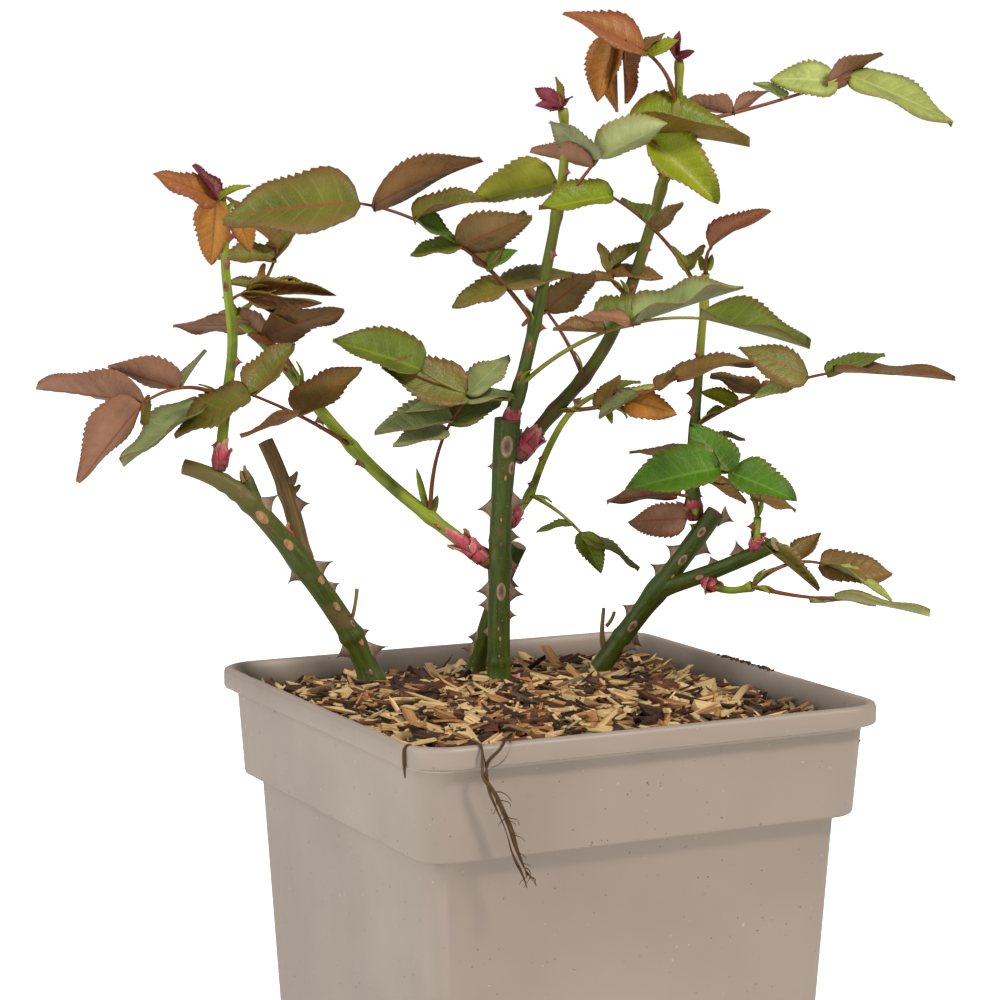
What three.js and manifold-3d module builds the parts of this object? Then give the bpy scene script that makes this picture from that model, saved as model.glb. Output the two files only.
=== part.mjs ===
// Young rose bush in a square plastic pot, in leaf and without flowers.
// Millimetres, +Z up. The origin is the centre of the pot's flat underside and
// +X runs along the pot's right-hand front side.
//
// Limbs, leaf stalks and leaflets all follow one rule: a route starts at a
// point, and its heading (degrees round from +X) and rise (degrees above level)
// run evenly through the listed values along its length. A compound leaf is a
// stalk with leaflets on it. Each leaflet is listed as its share of the stalk's
// reach, its heading, rise and length, its twist about its own midrib and, for
// a leaflet that is still folded, how sharply and how slim.
import * as THREE from "three";
import { mergeVertices } from "three/addons/utils/BufferGeometryUtils.js";
import Module from "manifold-3d";

const wasm = await Module();
wasm.setup();

const gap = 0.3;            // clearance between neighbouring pieces
const leafThickness = 0.9;
const stalkRadius = 0.8;
const leafletWidth = 0.31;  // half width over length

const pot = {
  height: 240, rimHalf: 100, rimCorner: 17.5, rimDepth: 8,
  bandTopHalf: 94.9, bandFootHalf: 92.9, bandCorner: 13.6, bandFoot: 196.5,
  bodyHalf: 86.8, baseHalf: 76.3, bodyCorner: 11.3, chamfer: 2,
  wall: 1.8, rimWall: 4, floor: 3,
};
const mulch = { crown: 239, edge: 229, ridge: 1.2 };

const canes = {
  cane_middle: {
    from: [-7, 21.5, 229], heading: [-140, -66, -76], rise: [88, 89, 82], length: 115,
    radius: [4.7, 4.5, 4.4, 4.3, 5.3], color: 0x4f6234,
    thorns: [
      { at: 37, heading: 153, size: 7.5 }, { at: 45, heading: 150, size: 7.5 },
      { at: 41, heading: -27, size: 8 }, { at: 55, heading: -20, size: 6.5 },
      { at: 76, heading: 153, size: 9.5 }, { at: 79, heading: -27, size: 9.5 },
    ],
  },
  cane_left: {
    from: [-45, 57, 229], heading: [172, 179, 180, 176, 145], rise: [75, 57, 53, 47, 13],
    length: 129, radius: [4.7, 4.6, 4.3, 3.8, 3.2], color: 0x556238,
    thorns: [
      { at: 12, heading: -27, size: 9 }, { at: 15, heading: 153, size: 9 },
      { at: 60, heading: -27, rise: 35, size: 9 }, { at: 68, heading: 180, rise: -40, size: 7 },
      { at: 93, heading: -27, rise: 55, size: 9 },
    ],
  },
  cane_rear: {
    from: [-3.5, 53.5, 229], heading: [-86, -57], rise: [72, 61], length: 68,
    radius: [3.5, 3.3, 3.2], color: 0x5a5c3c,
    thorns: [{ at: 16, heading: 153, size: 6 }],
  },
  cane_right: {
    from: [32, 24, 229], heading: [-41, -46, -49], rise: [56, 53, 54], length: 95,
    radius: [4.2, 4, 3.9, 3.8], color: 0x556238,
    thorns: [
      { at: 36, heading: 153, rise: -20, size: 9 }, { at: 40, heading: 150, rise: 45, size: 7 },
      { at: 62, heading: 140, rise: 40, size: 8 }, { at: 90, heading: -27, rise: 0, size: 7 },
    ],
    branch: {
      from: [56, 1, 274], heading: [-57, -63], rise: [19, 27], length: 56,
      radius: [3.5, 3.2, 3], thorns: [{ at: 38, heading: -40, rise: 75, size: 6.5 }],
    },
  },
};

const stub = {
  from: [-75.5, 60.5, 286.5], heading: [111, 133, 132], rise: [77, 71, 62], length: 50,
  radius: [3.7, 3.2, 3.2], on: "cane_left", color: 0x6b5440,
};

// Each shoot: its stem, the swollen bud scales at its foot, and its leaves.
const shoots = {
  shoot_left: {
    seed: 1, on: "cane_left", color: 0x5d7a3c, foot: { length: 12, radius: 3.3 },
    from: [-110, 62, 325], heading: [-19, 2, 81, 119, 108], rise: [85, 82, 69, 88, 85], length: 110,
    radius: [2.3, 2, 1.5],
    leaves: [
      { at: 26, heading: [-150, -160], rise: [32, -28], reach: 49, leaflets: [
        [1, -175, -45, 39, -60], [0.97, 145, 10, 42, -30], [0.95, 60, -35, 17, -105],
        [0.6, 180, 20, 30, -35], [0.55, 35, 50, 20, 35]] },
      { at: 24, heading: [-140, -180], rise: [30, -15], reach: 11, leaflets: [
        [1, 175, -30, 40, 10]] },
      { at: 102, heading: [-130, -155], rise: [70, 20], reach: 7, leaflets: [
        [1, -180, 28, 27, 45], [0.95, 100, -75, 27, 130], [0.9, 140, 60, 17, 5],
        [0.9, 0, 30, 15, -10]] },
      { at: 100, heading: [50, 35], rise: [45, -30], reach: 13, leaflets: [
        [1, -10, -70, 17, -80]] },
    ],
  },
  shoot_diagonal: {
    seed: 2, on: "cane_middle", color: 0x5d7a3c, foot: { length: 20, radius: 3.4 },
    from: [-12, 22, 286.5], heading: [150, 135, 134, 130, 134], rise: [38, 35, 45, 48, 38], length: 144,
    radius: [2.9, 2.6, 2.4, 1.7],
    leaves: [
      { at: 72, heading: [-160, -170], rise: [30, 20], reach: 57, leaflets: [
        [1, 170, -25, 33, 30], [0.95, 20, 45, 29, -15], [0.55, 5, 35, 34, -20],
        [0.55, -175, -14, 27, -24, 0]] },
      { at: 29, heading: [-110, -60], rise: [80, 45], reach: 55, leaflets: [
        [1, 5, 10, 25, -15], [1, 155, -5, 24, 30], [0.8, 10, 25, 28, -35],
        [0.8, 165, -8, 31, 35, 0.6], [0.72, 175, -8, 23, 30]] },
      { at: 104, heading: [135, 125], rise: [70, 20], reach: 36, leaflets: [
        [1, 170, 5, 31, -25], [0.8, 135, 30, 20, -50], [0.75, -35, 27, 35, 35],
        [0.62, -160, 20, 14, 35]] },
      { at: 144, heading: [5, 30], rise: [40, 65], reach: 36, leaflets: [
        [1, 125, 45, 36, 0], [0.85, 175, 5, 24, 35], [0.85, 15, 50, 25, 0],
        [0.45, 180, 15, 15, 30], [0.45, 60, 65, 12, 45]] },
      { at: 144, heading: [-180, -10], rise: [60, 10], reach: 20, leaflets: [
        [1, -30, 1, 35, -65, 1.5, 0.55], [0.93, -20, 17, 21, -100, 1.5, 0.6],
        [0.97, -10, 10, 26, -40, 1.5, 0.55], [0.9, -40, -8, 32, -110, 1.5, 0.6],
        [0.85, -30, -27, 25, -60, 1.4, 0.6]] },
    ],
  },
  shoot_centre: {
    seed: 3, on: "cane_middle", color: 0x64803a, foot: { length: 9, radius: 3.4 },
    from: [-5, 16, 342.5], heading: [-48, -59, -52, -148], rise: [73, 76, 79, 75], length: 126,
    radius: [2.9, 2.4, 2.1, 1.6],
    leaves: [
      { at: 10, heading: [-170, -195], rise: [-3, 36], reach: 44, leaflets: [
        [1, 145, 21, 37, 40], [0.55, 170, 20, 34, 60, 0], [0.5, 20, 35, 27, -15]] },
      { at: 40, heading: [-195, -170], rise: [58, 7], reach: 92, leaflets: [
        [1, 155, 0, 52, 50], [0.93, -5, 30, 46, 35], [0.72, -27, 25, 29, -32, 1.1],
        [0.72, -5, -25, 20, -40], [0.48, -50, 25, 33, 45], [0.48, 170, -5, 20, 35],
        [0.33, 30, 45, 34, 15], [0.33, -60, 30, 15, -60], [0.22, 165, -15, 22, 40],
        [0.22, 0, 15, 32, -20]] },
      { at: 84, heading: [-70, -40], rise: [52, 49], reach: 29, leaflets: [
        [1, -50, 28, 31, 50, 0.6], [0.95, 165, 45, 24, -35], [0.85, 130, 15, 26, -30]] },
      { at: 89, heading: [25, 110], rise: [75, 15], reach: 12, leaflets: [
        [1, 140, -10, 34, -50]] },
      { at: 15, heading: [-63, -65], rise: [40, -2], reach: 92, leaflets: [
        [1, -40, -10, 42, -14], [0.68, -15, 22, 44, -8], [0.66, 170, 15, 20, 25],
        [0.48, 15, 20, 34, -30], [0.5, 165, 5, 20, 20]] },
      { at: 124, heading: [-150, -175], rise: [84, 48], reach: 4, leaflets: [
        [1, 165, 32, 12, -65, 0.5], [0.8, 150, 5, 10, -60, 0.4], [0.9, 160, 80, 11, 30], [0.7, -15, 50, 6, -15],
        [0.5, -175, -5, 6, 20]] },
    ],
  },
  shoot_centre_right: {
    seed: 14, on: "cane_middle", color: 0x6d6a3c, foot: { length: 17, radius: 4.5 },
    from: [-1, 17, 329], heading: [1, -1, 2, 10, -25, 77], rise: [48, 43, 65, 69, 80, 78], length: 179,
    radius: [3, 2.6, 2.2, 1.6],
    leaves: [
      { at: 159, heading: [-160, -210], rise: [80, 10], reach: 42, leaflets: [
        [1, 140, -75, 26, 75], [0.97, 70, -75, 30, 100], [0.92, 40, -65, 27, -90],
        [0.66, 175, 25, 38, 45], [0.7, 5, 35, 13, -10], [0.62, -45, 30, 13, -60]] },
      { at: 152, heading: [0, -15], rise: [10, 20], reach: 82, leaflets: [
        [1, -35, -20, 46, -28], [0.92, 170, 5, 28, 60], [0.85, -10, 35, 28, 40],
        [0.62, 115, 30, 16, 5], [0.32, 170, 15, 21, -30], [0.34, 0, 35, 18, 45]] },
      { at: 126, heading: [0, -210, -215], rise: [55, 55, 5], reach: 35, leaflets: [
        [1, -27, 3, 49, -21, 0.8], [0.72, -45, -40, 37, -50]] },
      { at: 42, heading: [150, 155], rise: [70, 50], reach: 34, leaflets: [
        [1, 115, 50, 16, -5], [0.92, -50, 40, 27, 40], [0.88, 120, -20, 14, 30]] },
      { at: 80, heading: [190, 5], rise: [50, 28], reach: 19, leaflets: [
        [1, -5, 40, 17, -20], [0.9, -45, -5, 21, -25], [0.8, 85, 55, 16, -20],
        [0.5, 160, 5, 13, 30]] },
      { at: 24, heading: [-40, -60], rise: [0, 33], reach: 55, leaflets: [
        [1, -15, 15, 33, -15], [0.82, 0, 35, 21, -10], [0.64, 170, -25, 18, 10],
        [0.55, -50, -10, 21, -55], [0.5, 5, 20, 21, -5], [0.33, 15, 55, 17, 0],
        [0.35, -75, -40, 9, 5]] },
      { at: 176, heading: [140, 140], rise: [70, 88], reach: 6, leaflets: [
        [1, -80, 90, 9, -95], [0.8, -160, 60, 9, 80], [0.7, -55, 20, 8, -55]] },
    ],
  },
  shoot_rear: {
    seed: 5, on: "cane_middle", color: 0x5d7a3c, foot: { length: 9, radius: 3.4 },
    from: [-2, 24, 301.5], heading: [21, 21, 13, 8], rise: [24, 62, 51, 15], length: 72,
    radius: [1.7, 1.5, 1.1],
    leaves: [
      { at: 17, heading: [-56, -69], rise: [-20, -40], reach: 31, leaflets: [
        [1, -10, -25, 27, -15], [0.95, -75, -50, 18, -20], [0.75, 165, -5, 15, 10]] },
      { at: 76, heading: [-45, -5], rise: [0, 0], reach: 6, leaflets: [
        [1, -10, -15, 22, -15], [0.6, 5, 20, 18, -5], [0.6, -45, -40, 13, -10]] },
    ],
  },
  shoot_right: {
    seed: 6, on: "cane_right", color: 0x6d6a3c, foot: { length: 12, radius: 3.8 },
    from: [65.5, -8.5, 304], heading: [-152, -92, -57, -123], rise: [79, 84, 86, 77], length: 98,
    radius: [2.2, 1.9, 1.4],
    leaves: [
      { at: 100, heading: [-134, -73], rise: [87, 46], reach: 12, leaflets: [
        [1, -50, 38, 27, -45, 0.8]] },
      { at: 37, heading: [-37, -69], rise: [33, 10], reach: 64, leaflets: [
        [1, -35, 1, 46, -2, 0], [0.95, -10, 20, 25, -15], [0.8, 160, 28, 29, 50],
        [0.7, 170, -15, 17, 20], [0.45, 125, 25, 22, 20], [0.5, 10, 5, 16, -20],
        [0.3, 155, 20, 15, 40], [0.2, -175, -5, 8, 15]] },
      { at: 86, heading: [-185, -180], rise: [64, 27], reach: 60, leaflets: [
        [1, 165, -8, 29, 38], [0.62, 115, 40, 20, 5], [0.6, -50, 50, 16, 30],
        [0.25, 0, 55, 13, -10], [0.25, -175, 55, 13, 55]] },
      { at: 27, heading: [72, 120], rise: [10, 15], reach: 4, leaflets: [
        [1, 140, 0, 24, 5]] },
      { at: 32, heading: [11, 6], rise: [-18, 19], reach: 9, leaflets: [
        [1, -20, 5, 14, -15]] },
      { at: 9, heading: [-158, -222], rise: [-10, 17], reach: 8, leaflets: [
        [1, 160, 0, 28, -35], [0.8, 115, 10, 17, 15]] },
      { at: 6, heading: [-135, -170], rise: [-50, -35], reach: 9, leaflets: [
        [1, 165, -2, 24, -75, 0]] },
      { at: 10, heading: [-74, -77], rise: [54, 4], reach: 11, leaflets: [
        [1, -45, -25, 17, -15], [0.7, -10, -10, 16, -15]] },
    ],
  },
  shoot_branch_upper: {
    seed: 7, on: "cane_right", color: 0x64803a, foot: { length: 7, radius: 2.9 },
    from: [77, -36.5, 293.5], heading: [-96, -126], rise: [73, 79], length: 13, radius: [1.6, 1.2],
    leaves: [
      { at: 13, heading: [-179, -176], rise: [85, 9], reach: 30, leaflets: [
        [1, 165, -5, 37, 45], [0.8, 115, 45, 26, 35], [0.75, -55, -15, 28, -40],
        [0.3, -25, -10, 18, -20]] },
      { at: 1, heading: [-60, -60], rise: [10, -20], reach: 4, leaflets: [
        [1, -50, -32, 27, -35, 1.2, 0.6]] },
    ],
  },
  shoot_branch_lower: {
    seed: 8, on: "cane_right", color: 0x64803a, foot: { length: 8, radius: 3.2 },
    from: [67, -16, 279], heading: [-85, -55], rise: [-26, 25], length: 24, radius: [1.8, 1.3],
    leaves: [
      { at: 24, heading: [-10, 7], rise: [42, -20], reach: 36, leaflets: [
        [1, -45, -20, 30, -5], [0.95, -20, -5, 30, -40], [0.6, 15, 40, 18, -10],
        [0.5, 115, 45, 17, -5]] },
      { at: 24, heading: [-67, -73], rise: [-8, 6], reach: 41, leaflets: [
        [1, -35, -2, 36, 5, 0, 0.8], [0.7, -12, 4, 27, 3, 0, 0.8]] },
    ],
  },
};

const up = new THREE.Vector3(0, 0, 1);
const depth = new THREE.Vector3(0.45, 0.89, 0);   // level and square to the widest side of the crown
const rad = THREE.MathUtils.degToRad;

function mix(list, t) {
  const x = t * (list.length - 1);
  const i = Math.min(Math.floor(x), list.length - 2);
  return list[i] + (list[i + 1] - list[i]) * (x - i);
}

function direction(heading, rise) {
  const [h, e] = [rad(heading), rad(rise)];
  return new THREE.Vector3(Math.cos(h) * Math.cos(e), Math.sin(h) * Math.cos(e), Math.sin(e));
}

function seeded(seed) {
  let state = seed * 7919 + 12345;
  return () => {
    state = (state * 1103515245 + 12345) % 2147483648;
    return state / 2147483648;
  };
}

// Points along a route, with the direction at each.
function route({ from, heading, rise, length }, steps) {
  const point = new THREE.Vector3(...from);
  const stations = [];
  for (let i = 0; i <= steps; i++) {
    stations.push({ point: point.clone(), along: direction(mix(heading, i / steps), mix(rise, i / steps)) });
    const middle = Math.min((i + 0.5) / steps, 1);
    point.addScaledVector(direction(mix(heading, middle), mix(rise, middle)), length / steps);
  }
  return stations;
}

function stationAt(stations, t) {
  const x = t * (stations.length - 1);
  const i = Math.min(Math.floor(x), stations.length - 2);
  const [a, b] = [stations[i], stations[i + 1]];
  return {
    point: a.point.clone().lerp(b.point, x - i),
    along: a.along.clone().lerp(b.along, x - i).normalize(),
  };
}

function solid(geometry) {
  const bare = geometry.clone();
  bare.deleteAttribute("normal");
  bare.deleteAttribute("uv");
  const merged = mergeVertices(bare, 1e-4);
  const corners = [...merged.index.array];
  const triangles = [];
  for (let i = 0; i < corners.length; i += 3) {
    const [a, b, c] = corners.slice(i, i + 3);
    if (a !== b && b !== c && c !== a) triangles.push(a, b, c);
  }
  return new wasm.Manifold(new wasm.Mesh({
    numProp: 3,
    vertProperties: new Float32Array(merged.attributes.position.array),
    triVerts: new Uint32Array(triangles),
  }));
}

function fuse(solids) {
  return solids.reduce((whole, piece) => whole.add(piece));
}

function largest(whole) {
  return whole.decompose().sort((a, b) => b.volume() - a.volume())[0];
}

// A tapering limb: a cylinder bent along its route. Steep limbs take their
// rings' bearings from the depth direction, low ones from the vertical.
function limb(spec, { sides = 8, step = 12, grow = 0, levelFoot = false } = {}) {
  const steps = Math.max(2, Math.round(spec.length / step));
  const stations = route(spec, steps);
  const steep = Math.abs(mix(spec.rise, 0.5)) > 45;
  const geometry = new THREE.CylinderGeometry(1, 1, 1, sides, steps);
  const position = geometry.attributes.position;
  for (let i = 0; i < position.count; i++) {
    const t = position.getY(i) + 0.5;
    const { point, along } = stations[Math.round(t * steps)];
    const axis = levelFoot && t === 0 ? up : along;
    const side = new THREE.Vector3().crossVectors(axis, steep ? depth : up).normalize();
    const face = new THREE.Vector3().crossVectors(side, axis);
    const radius = mix(spec.radius, t) + grow;
    const end = t === 0 ? -grow : t === 1 ? grow : 0;
    const vertex = point.clone()
      .addScaledVector(axis, end)
      .addScaledVector(side, position.getX(i) * radius)
      .addScaledVector(face, position.getZ(i) * radius);
    position.setXYZ(i, vertex.x, vertex.y, vertex.z);
  }
  return solid(geometry);
}

function thorn(cane, { at, heading, rise = 10, size }) {
  const { point } = stationAt(route(cane, 12), at / cane.length);
  const out = direction(heading, rise);
  const geometry = new THREE.ConeGeometry(1, 1, 5, 1);
  geometry.scale(1.1, size, 2.6);
  geometry.translate(0, size / 2, 0);
  const side = new THREE.Vector3().crossVectors(out, up).normalize();
  const face = new THREE.Vector3().crossVectors(side, out);
  geometry.applyMatrix4(new THREE.Matrix4().makeBasis(side, out, face).setPosition(point));
  return solid(geometry);
}

function cane(spec) {
  const pieces = [limb(spec, { sides: 10, step: 14, levelFoot: true })];
  for (const item of spec.thorns) pieces.push(thorn(spec, item));
  if (spec.branch) {
    pieces.push(limb(spec.branch, { sides: 10, step: 14 }));
    for (const item of spec.branch.thorns) pieces.push(thorn(spec.branch, item));
  }
  return fuse(pieces);
}

function caneRoom(spec) {
  const room = limb(spec, { sides: 10, step: 14, grow: gap, levelFoot: true });
  return spec.branch ? room.add(limb(spec.branch, { sides: 10, step: 14, grow: gap })) : room;
}

// One leaflet: a flattened sphere of 16 faces, broadest below its middle, folded
// up along its midrib and curling down to its tip, with its root in the stalk.
function leaflet({ base, along, normal, size, fold, curl, slim }, grow = 0) {
  const side = new THREE.Vector3().crossVectors(along, normal).normalize();
  const face = new THREE.Vector3().crossVectors(side, along);
  const geometry = new THREE.SphereGeometry(1, 8, 2);
  const position = geometry.attributes.position;
  const root = 0.7;
  for (let i = 0; i < position.count; i++) {
    const t = (position.getX(i) + 1) / 2;
    const half = size * slim * leafletWidth * (1.15 - 0.3 * t) / Math.hypot(1, fold) + grow;
    const across = position.getZ(i) * half;
    const height = Math.abs(across) * fold - curl * size * t * t
      + position.getY(i) * (leafThickness / 2 + grow);
    const vertex = base.clone()
      .addScaledVector(along, t * (size + root + grow) - root)
      .addScaledVector(side, across)
      .addScaledVector(face, height);
    position.setXYZ(i, vertex.x, vertex.y, vertex.z);
  }
  return solid(geometry);
}

// A compound leaf. A leaflet that would touch a neighbouring limb or shoot is
// turned up or down in steps, and is left out where no turn clears it.
function compoundLeaf(stem, spec, random, taken) {
  const start = stationAt(stem, spec.at).point;
  const stalk = {
    from: start.toArray(), heading: spec.heading, rise: spec.rise,
    length: spec.reach, radius: [stalkRadius * 1.3, stalkRadius],
  };
  if (!limb(stalk, { sides: 3, step: 18, grow: gap }).intersect(taken).isEmpty()) return [];
  const stations = route(stalk, Math.max(2, Math.round(spec.reach / 18)));
  const pieces = [limb(stalk, { sides: 3, step: 18 })];
  for (const [share, heading, rise, size, twist, pressed, slim] of spec.leaflets) {
    const sway = () => (random() - 0.5) * 4;
    const [h, e] = [heading + sway(), rise + sway()];
    const fold = (pressed ?? 0.15) + (pressed === undefined ? 0.3 : 0.05) * random();
    const curl = 0.05 + 0.1 * random();
    for (const turn of [0, 12, -12, 24, -24, 36]) {
      const along = direction(h, e + turn);
      const level = new THREE.Vector3().crossVectors(along, up).normalize();
      const normal = new THREE.Vector3().crossVectors(level, along)
        .multiplyScalar(Math.cos(rad(twist))).addScaledVector(level, -Math.sin(rad(twist)));
      const blade = { base: stationAt(stations, share).point, along, normal, size, fold, curl, slim: slim ?? 1 };
      if (!leaflet(blade, gap).intersect(taken).isEmpty()) continue;
      pieces.push(leaflet(blade));
      break;
    }
  }
  return pieces;
}

function foot(spec) {
  const geometry = new THREE.SphereGeometry(1, 8, 6);
  geometry.scale(spec.foot.radius, spec.foot.length / 2, spec.foot.radius);
  const out = direction(spec.heading[0], spec.rise[0]);
  geometry.applyQuaternion(new THREE.Quaternion().setFromUnitVectors(new THREE.Vector3(0, 1, 0), out));
  geometry.translate(...new THREE.Vector3(...spec.from).addScaledVector(out, spec.foot.length / 3));
  return solid(geometry);
}

function shoot(spec, room, taken) {
  const random = seeded(spec.seed);
  const stem = route(spec, 24);
  const pieces = [limb(spec, { sides: 6, step: 16 }), foot(spec)];
  for (const leaf of spec.leaves) {
    pieces.push(...compoundLeaf(stem, { ...leaf, at: Math.min(leaf.at / spec.length, 1) }, random, taken));
  }
  return largest(fuse(pieces).subtract(room).subtract(taken));
}

// Rings of a rounded square, by bending a lathe's circles: a point's radius
// becomes the ring's half width.
function squareLathe(profile) {
  const perCorner = 5;
  const points = profile.map(([half, , z]) => new THREE.Vector2(half, z));
  const geometry = new THREE.LatheGeometry(points, 4 * perCorner);
  const position = geometry.attributes.position;
  for (let i = 0; i < position.count; i++) {
    const [half, corner, z] = profile[i % profile.length];
    const turn = Math.floor(i / profile.length) % (4 * perCorner);
    const quarter = Math.floor(turn / perCorner);
    const bend = rad(quarter * 90 + (turn % perCorner) * 90 / (perCorner - 1));
    const middle = rad(quarter * 90 + 45);
    const inner = (half - corner) * Math.SQRT2;
    position.setXYZ(i,
      inner * Math.cos(middle) + corner * Math.cos(bend),
      inner * Math.sin(middle) + corner * Math.sin(bend), z);
  }
  return solid(geometry);
}

const innerHalf = (z) => THREE.MathUtils.mapLinear(z, 0, pot.bandFoot, pot.baseHalf, pot.bodyHalf) - pot.wall;

function potSolid() {
  const p = pot;
  const rimFoot = p.height - p.rimDepth;
  return squareLathe([
    [0, 0, 0],
    [p.baseHalf - p.chamfer, p.bodyCorner - p.chamfer, 0],
    [p.baseHalf, p.bodyCorner, p.chamfer],
    [p.bodyHalf, p.bodyCorner, p.bandFoot],
    [p.bandFootHalf, p.bandCorner, p.bandFoot],
    [p.bandTopHalf, p.bandCorner, rimFoot],
    [p.rimHalf, p.rimCorner, rimFoot],
    [p.rimHalf, p.rimCorner, p.height - 1],
    [p.rimHalf - 1, p.rimCorner - 1, p.height],
    [p.rimHalf - p.rimWall, p.rimCorner - p.rimWall, p.height],
    [p.bandTopHalf - p.wall, p.bandCorner - p.wall, rimFoot - 2],
    [p.bandFootHalf - p.wall, p.bandCorner - p.wall, p.bandFoot + p.wall],
    [innerHalf(p.bandFoot), p.bodyCorner - p.wall, p.bandFoot - 2],
    [innerHalf(p.floor), p.bodyCorner - p.wall, p.floor],
    [0, 0, p.floor],
  ]);
}

function mulchSolid(sockets) {
  const [p, m] = [pot, mulch];
  const bodyCorner = p.bodyCorner - p.wall - gap;
  const topHalf = p.bandTopHalf - p.wall - gap - 0.4;
  const profile = [
    [0, 0, p.floor + gap],
    [innerHalf(p.floor) - gap, bodyCorner, p.floor + gap],
    [innerHalf(p.bandFoot) - gap, bodyCorner, p.bandFoot - 2],
    [p.bandFootHalf - p.wall - gap, p.bandCorner - p.wall - gap, p.bandFoot + p.wall + 1],
    [topHalf, p.bandCorner - p.wall - gap, m.edge],
  ];
  for (const share of [0.8, 0.6, 0.4, 0.2, 0]) {
    const rise = (m.crown - m.edge) * (1 - share * share) + m.ridge * Math.sin(share * 17);
    profile.push([topHalf * share, p.bandCorner * share * share, share ? m.edge + rise : m.crown]);
  }
  return squareLathe(profile).subtract(sockets);
}

function mesh(name, body, color, roughness = 0.8) {
  const { vertProperties, triVerts } = body.getMesh();
  const geometry = new THREE.BufferGeometry();
  geometry.setAttribute("position", new THREE.BufferAttribute(vertProperties, 3));
  geometry.setIndex(new THREE.BufferAttribute(triVerts, 1));
  geometry.computeVertexNormals();
  const made = new THREE.Mesh(geometry, new THREE.MeshStandardMaterial({ color, roughness, metalness: 0 }));
  made.name = name;
  return made;
}

const plant = new THREE.Group();
plant.add(mesh("pot", potSolid(), 0xa89888, 0.5));

// A cane that crosses one already made is cut clear of it.
let rooms = null;
const solids = {};
for (const [name, spec] of Object.entries(canes)) {
  const body = cane(spec);
  solids[name] = rooms ? largest(body.subtract(rooms)) : body;
  rooms = rooms ? rooms.add(caneRoom(spec)) : caneRoom(spec);
  plant.add(mesh(name, solids[name], spec.color));
}
plant.add(mesh("mulch", mulchSolid(rooms), 0x6e5a45, 0.95));

const stubBody = largest(limb(stub, { sides: 8 }).subtract(rooms));
plant.add(mesh("cane_left_stub", stubBody, stub.color));

let taken = fuse([rooms, ...Object.values(solids), stubBody]);
for (const [name, spec] of Object.entries(shoots)) {
  const body = shoot(spec, rooms, taken);
  taken = taken.add(body);
  plant.add(mesh(name, body, spec.color, 0.6));
}

export default plant;
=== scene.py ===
import math

import bmesh
import bpy
import numpy as np
from mathutils import Matrix, Vector, noise


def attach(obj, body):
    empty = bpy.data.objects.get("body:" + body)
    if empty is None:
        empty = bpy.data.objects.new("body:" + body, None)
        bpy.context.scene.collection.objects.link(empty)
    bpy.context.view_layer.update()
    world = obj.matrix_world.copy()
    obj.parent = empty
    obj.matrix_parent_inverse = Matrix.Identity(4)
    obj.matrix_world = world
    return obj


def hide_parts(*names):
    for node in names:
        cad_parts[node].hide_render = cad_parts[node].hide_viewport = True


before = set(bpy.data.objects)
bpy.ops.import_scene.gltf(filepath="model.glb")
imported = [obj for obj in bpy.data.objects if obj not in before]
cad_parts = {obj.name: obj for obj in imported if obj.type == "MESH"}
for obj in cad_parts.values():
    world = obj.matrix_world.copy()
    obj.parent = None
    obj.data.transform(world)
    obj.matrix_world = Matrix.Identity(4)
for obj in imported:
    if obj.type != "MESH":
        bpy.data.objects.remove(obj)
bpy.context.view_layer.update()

mm = 0.001
up = np.array([0.0, 0.0, 1.0])
depthWay = np.array([0.45, 0.89, 0.0]) / np.hypot(0.45, 0.89)   # level, square to the crown's widest side


def mix(values, t):
    x = np.asarray(t, float) * (len(values) - 1)
    i = np.clip(np.floor(x).astype(int), 0, len(values) - 2)
    values = np.asarray(values, float)
    return values[i] + (values[i + 1] - values[i]) * (x - i)


def direction(heading, rise):
    h, e = np.radians(heading), np.radians(rise)
    return np.stack([np.cos(h) * np.cos(e), np.sin(h) * np.cos(e), np.sin(e) + 0 * h], axis=-1)


def unit(v):
    return v / np.maximum(np.linalg.norm(v, axis=-1, keepdims=True), 1e-9)


def seeded(seed):
    state = [float(seed * 7919 + 12345)]

    def draw():
        state[0] = (state[0] * 1103515245.0 + 12345.0) % 2147483648.0
        return state[0] / 2147483648.0
    return draw


def route(spec, steps):
    # points in millimetres, and the direction at each
    middles = (np.arange(steps) + 0.5) / steps
    moves = direction(mix(spec["heading"], middles), mix(spec["rise"], middles)) * spec["length"] / steps
    points = np.vstack([spec["from"], spec["from"] + np.cumsum(moves, axis=0)])
    ends = np.arange(steps + 1) / steps
    return points, direction(mix(spec["heading"], ends), mix(spec["rise"], ends))


def stationAt(stations, t):
    points, along = stations
    x = t * (len(points) - 1)
    i = min(int(x), len(points) - 2)
    return (points[i] + (points[i + 1] - points[i]) * (x - i),
            unit(along[i] + (along[i + 1] - along[i]) * (x - i)))


def arraysOf(bm):
    bm.verts.index_update()
    points = np.array([v.co[:] for v in bm.verts])
    faces = [[v.index for v in f.verts] for f in bm.faces]
    bm.free()
    return points, faces


tubeShapes = {}


def tubeShape(sides, steps):
    # a straight tube of unit radius, its rings one apart, closed at both ends
    if (sides, steps) not in tubeShapes:
        bm = bmesh.new()
        bmesh.ops.create_circle(bm, cap_ends=True, segments=sides, radius=1)
        edges = bm.edges[:]
        for _ in range(steps):
            grown = bmesh.ops.extrude_edge_only(bm, edges=edges)["geom"]
            verts = [g for g in grown if isinstance(g, bmesh.types.BMVert)]
            edges = [e for e in grown if isinstance(e, bmesh.types.BMEdge) and all(v in verts for v in e.verts)]
            bmesh.ops.translate(bm, vec=(0, 0, 1), verts=verts)
        bmesh.ops.edgeloop_fill(bm, edges=edges)
        bmesh.ops.recalc_face_normals(bm, faces=bm.faces[:])
        tubeShapes[(sides, steps)] = arraysOf(bm)
    return tubeShapes[(sides, steps)]


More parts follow.
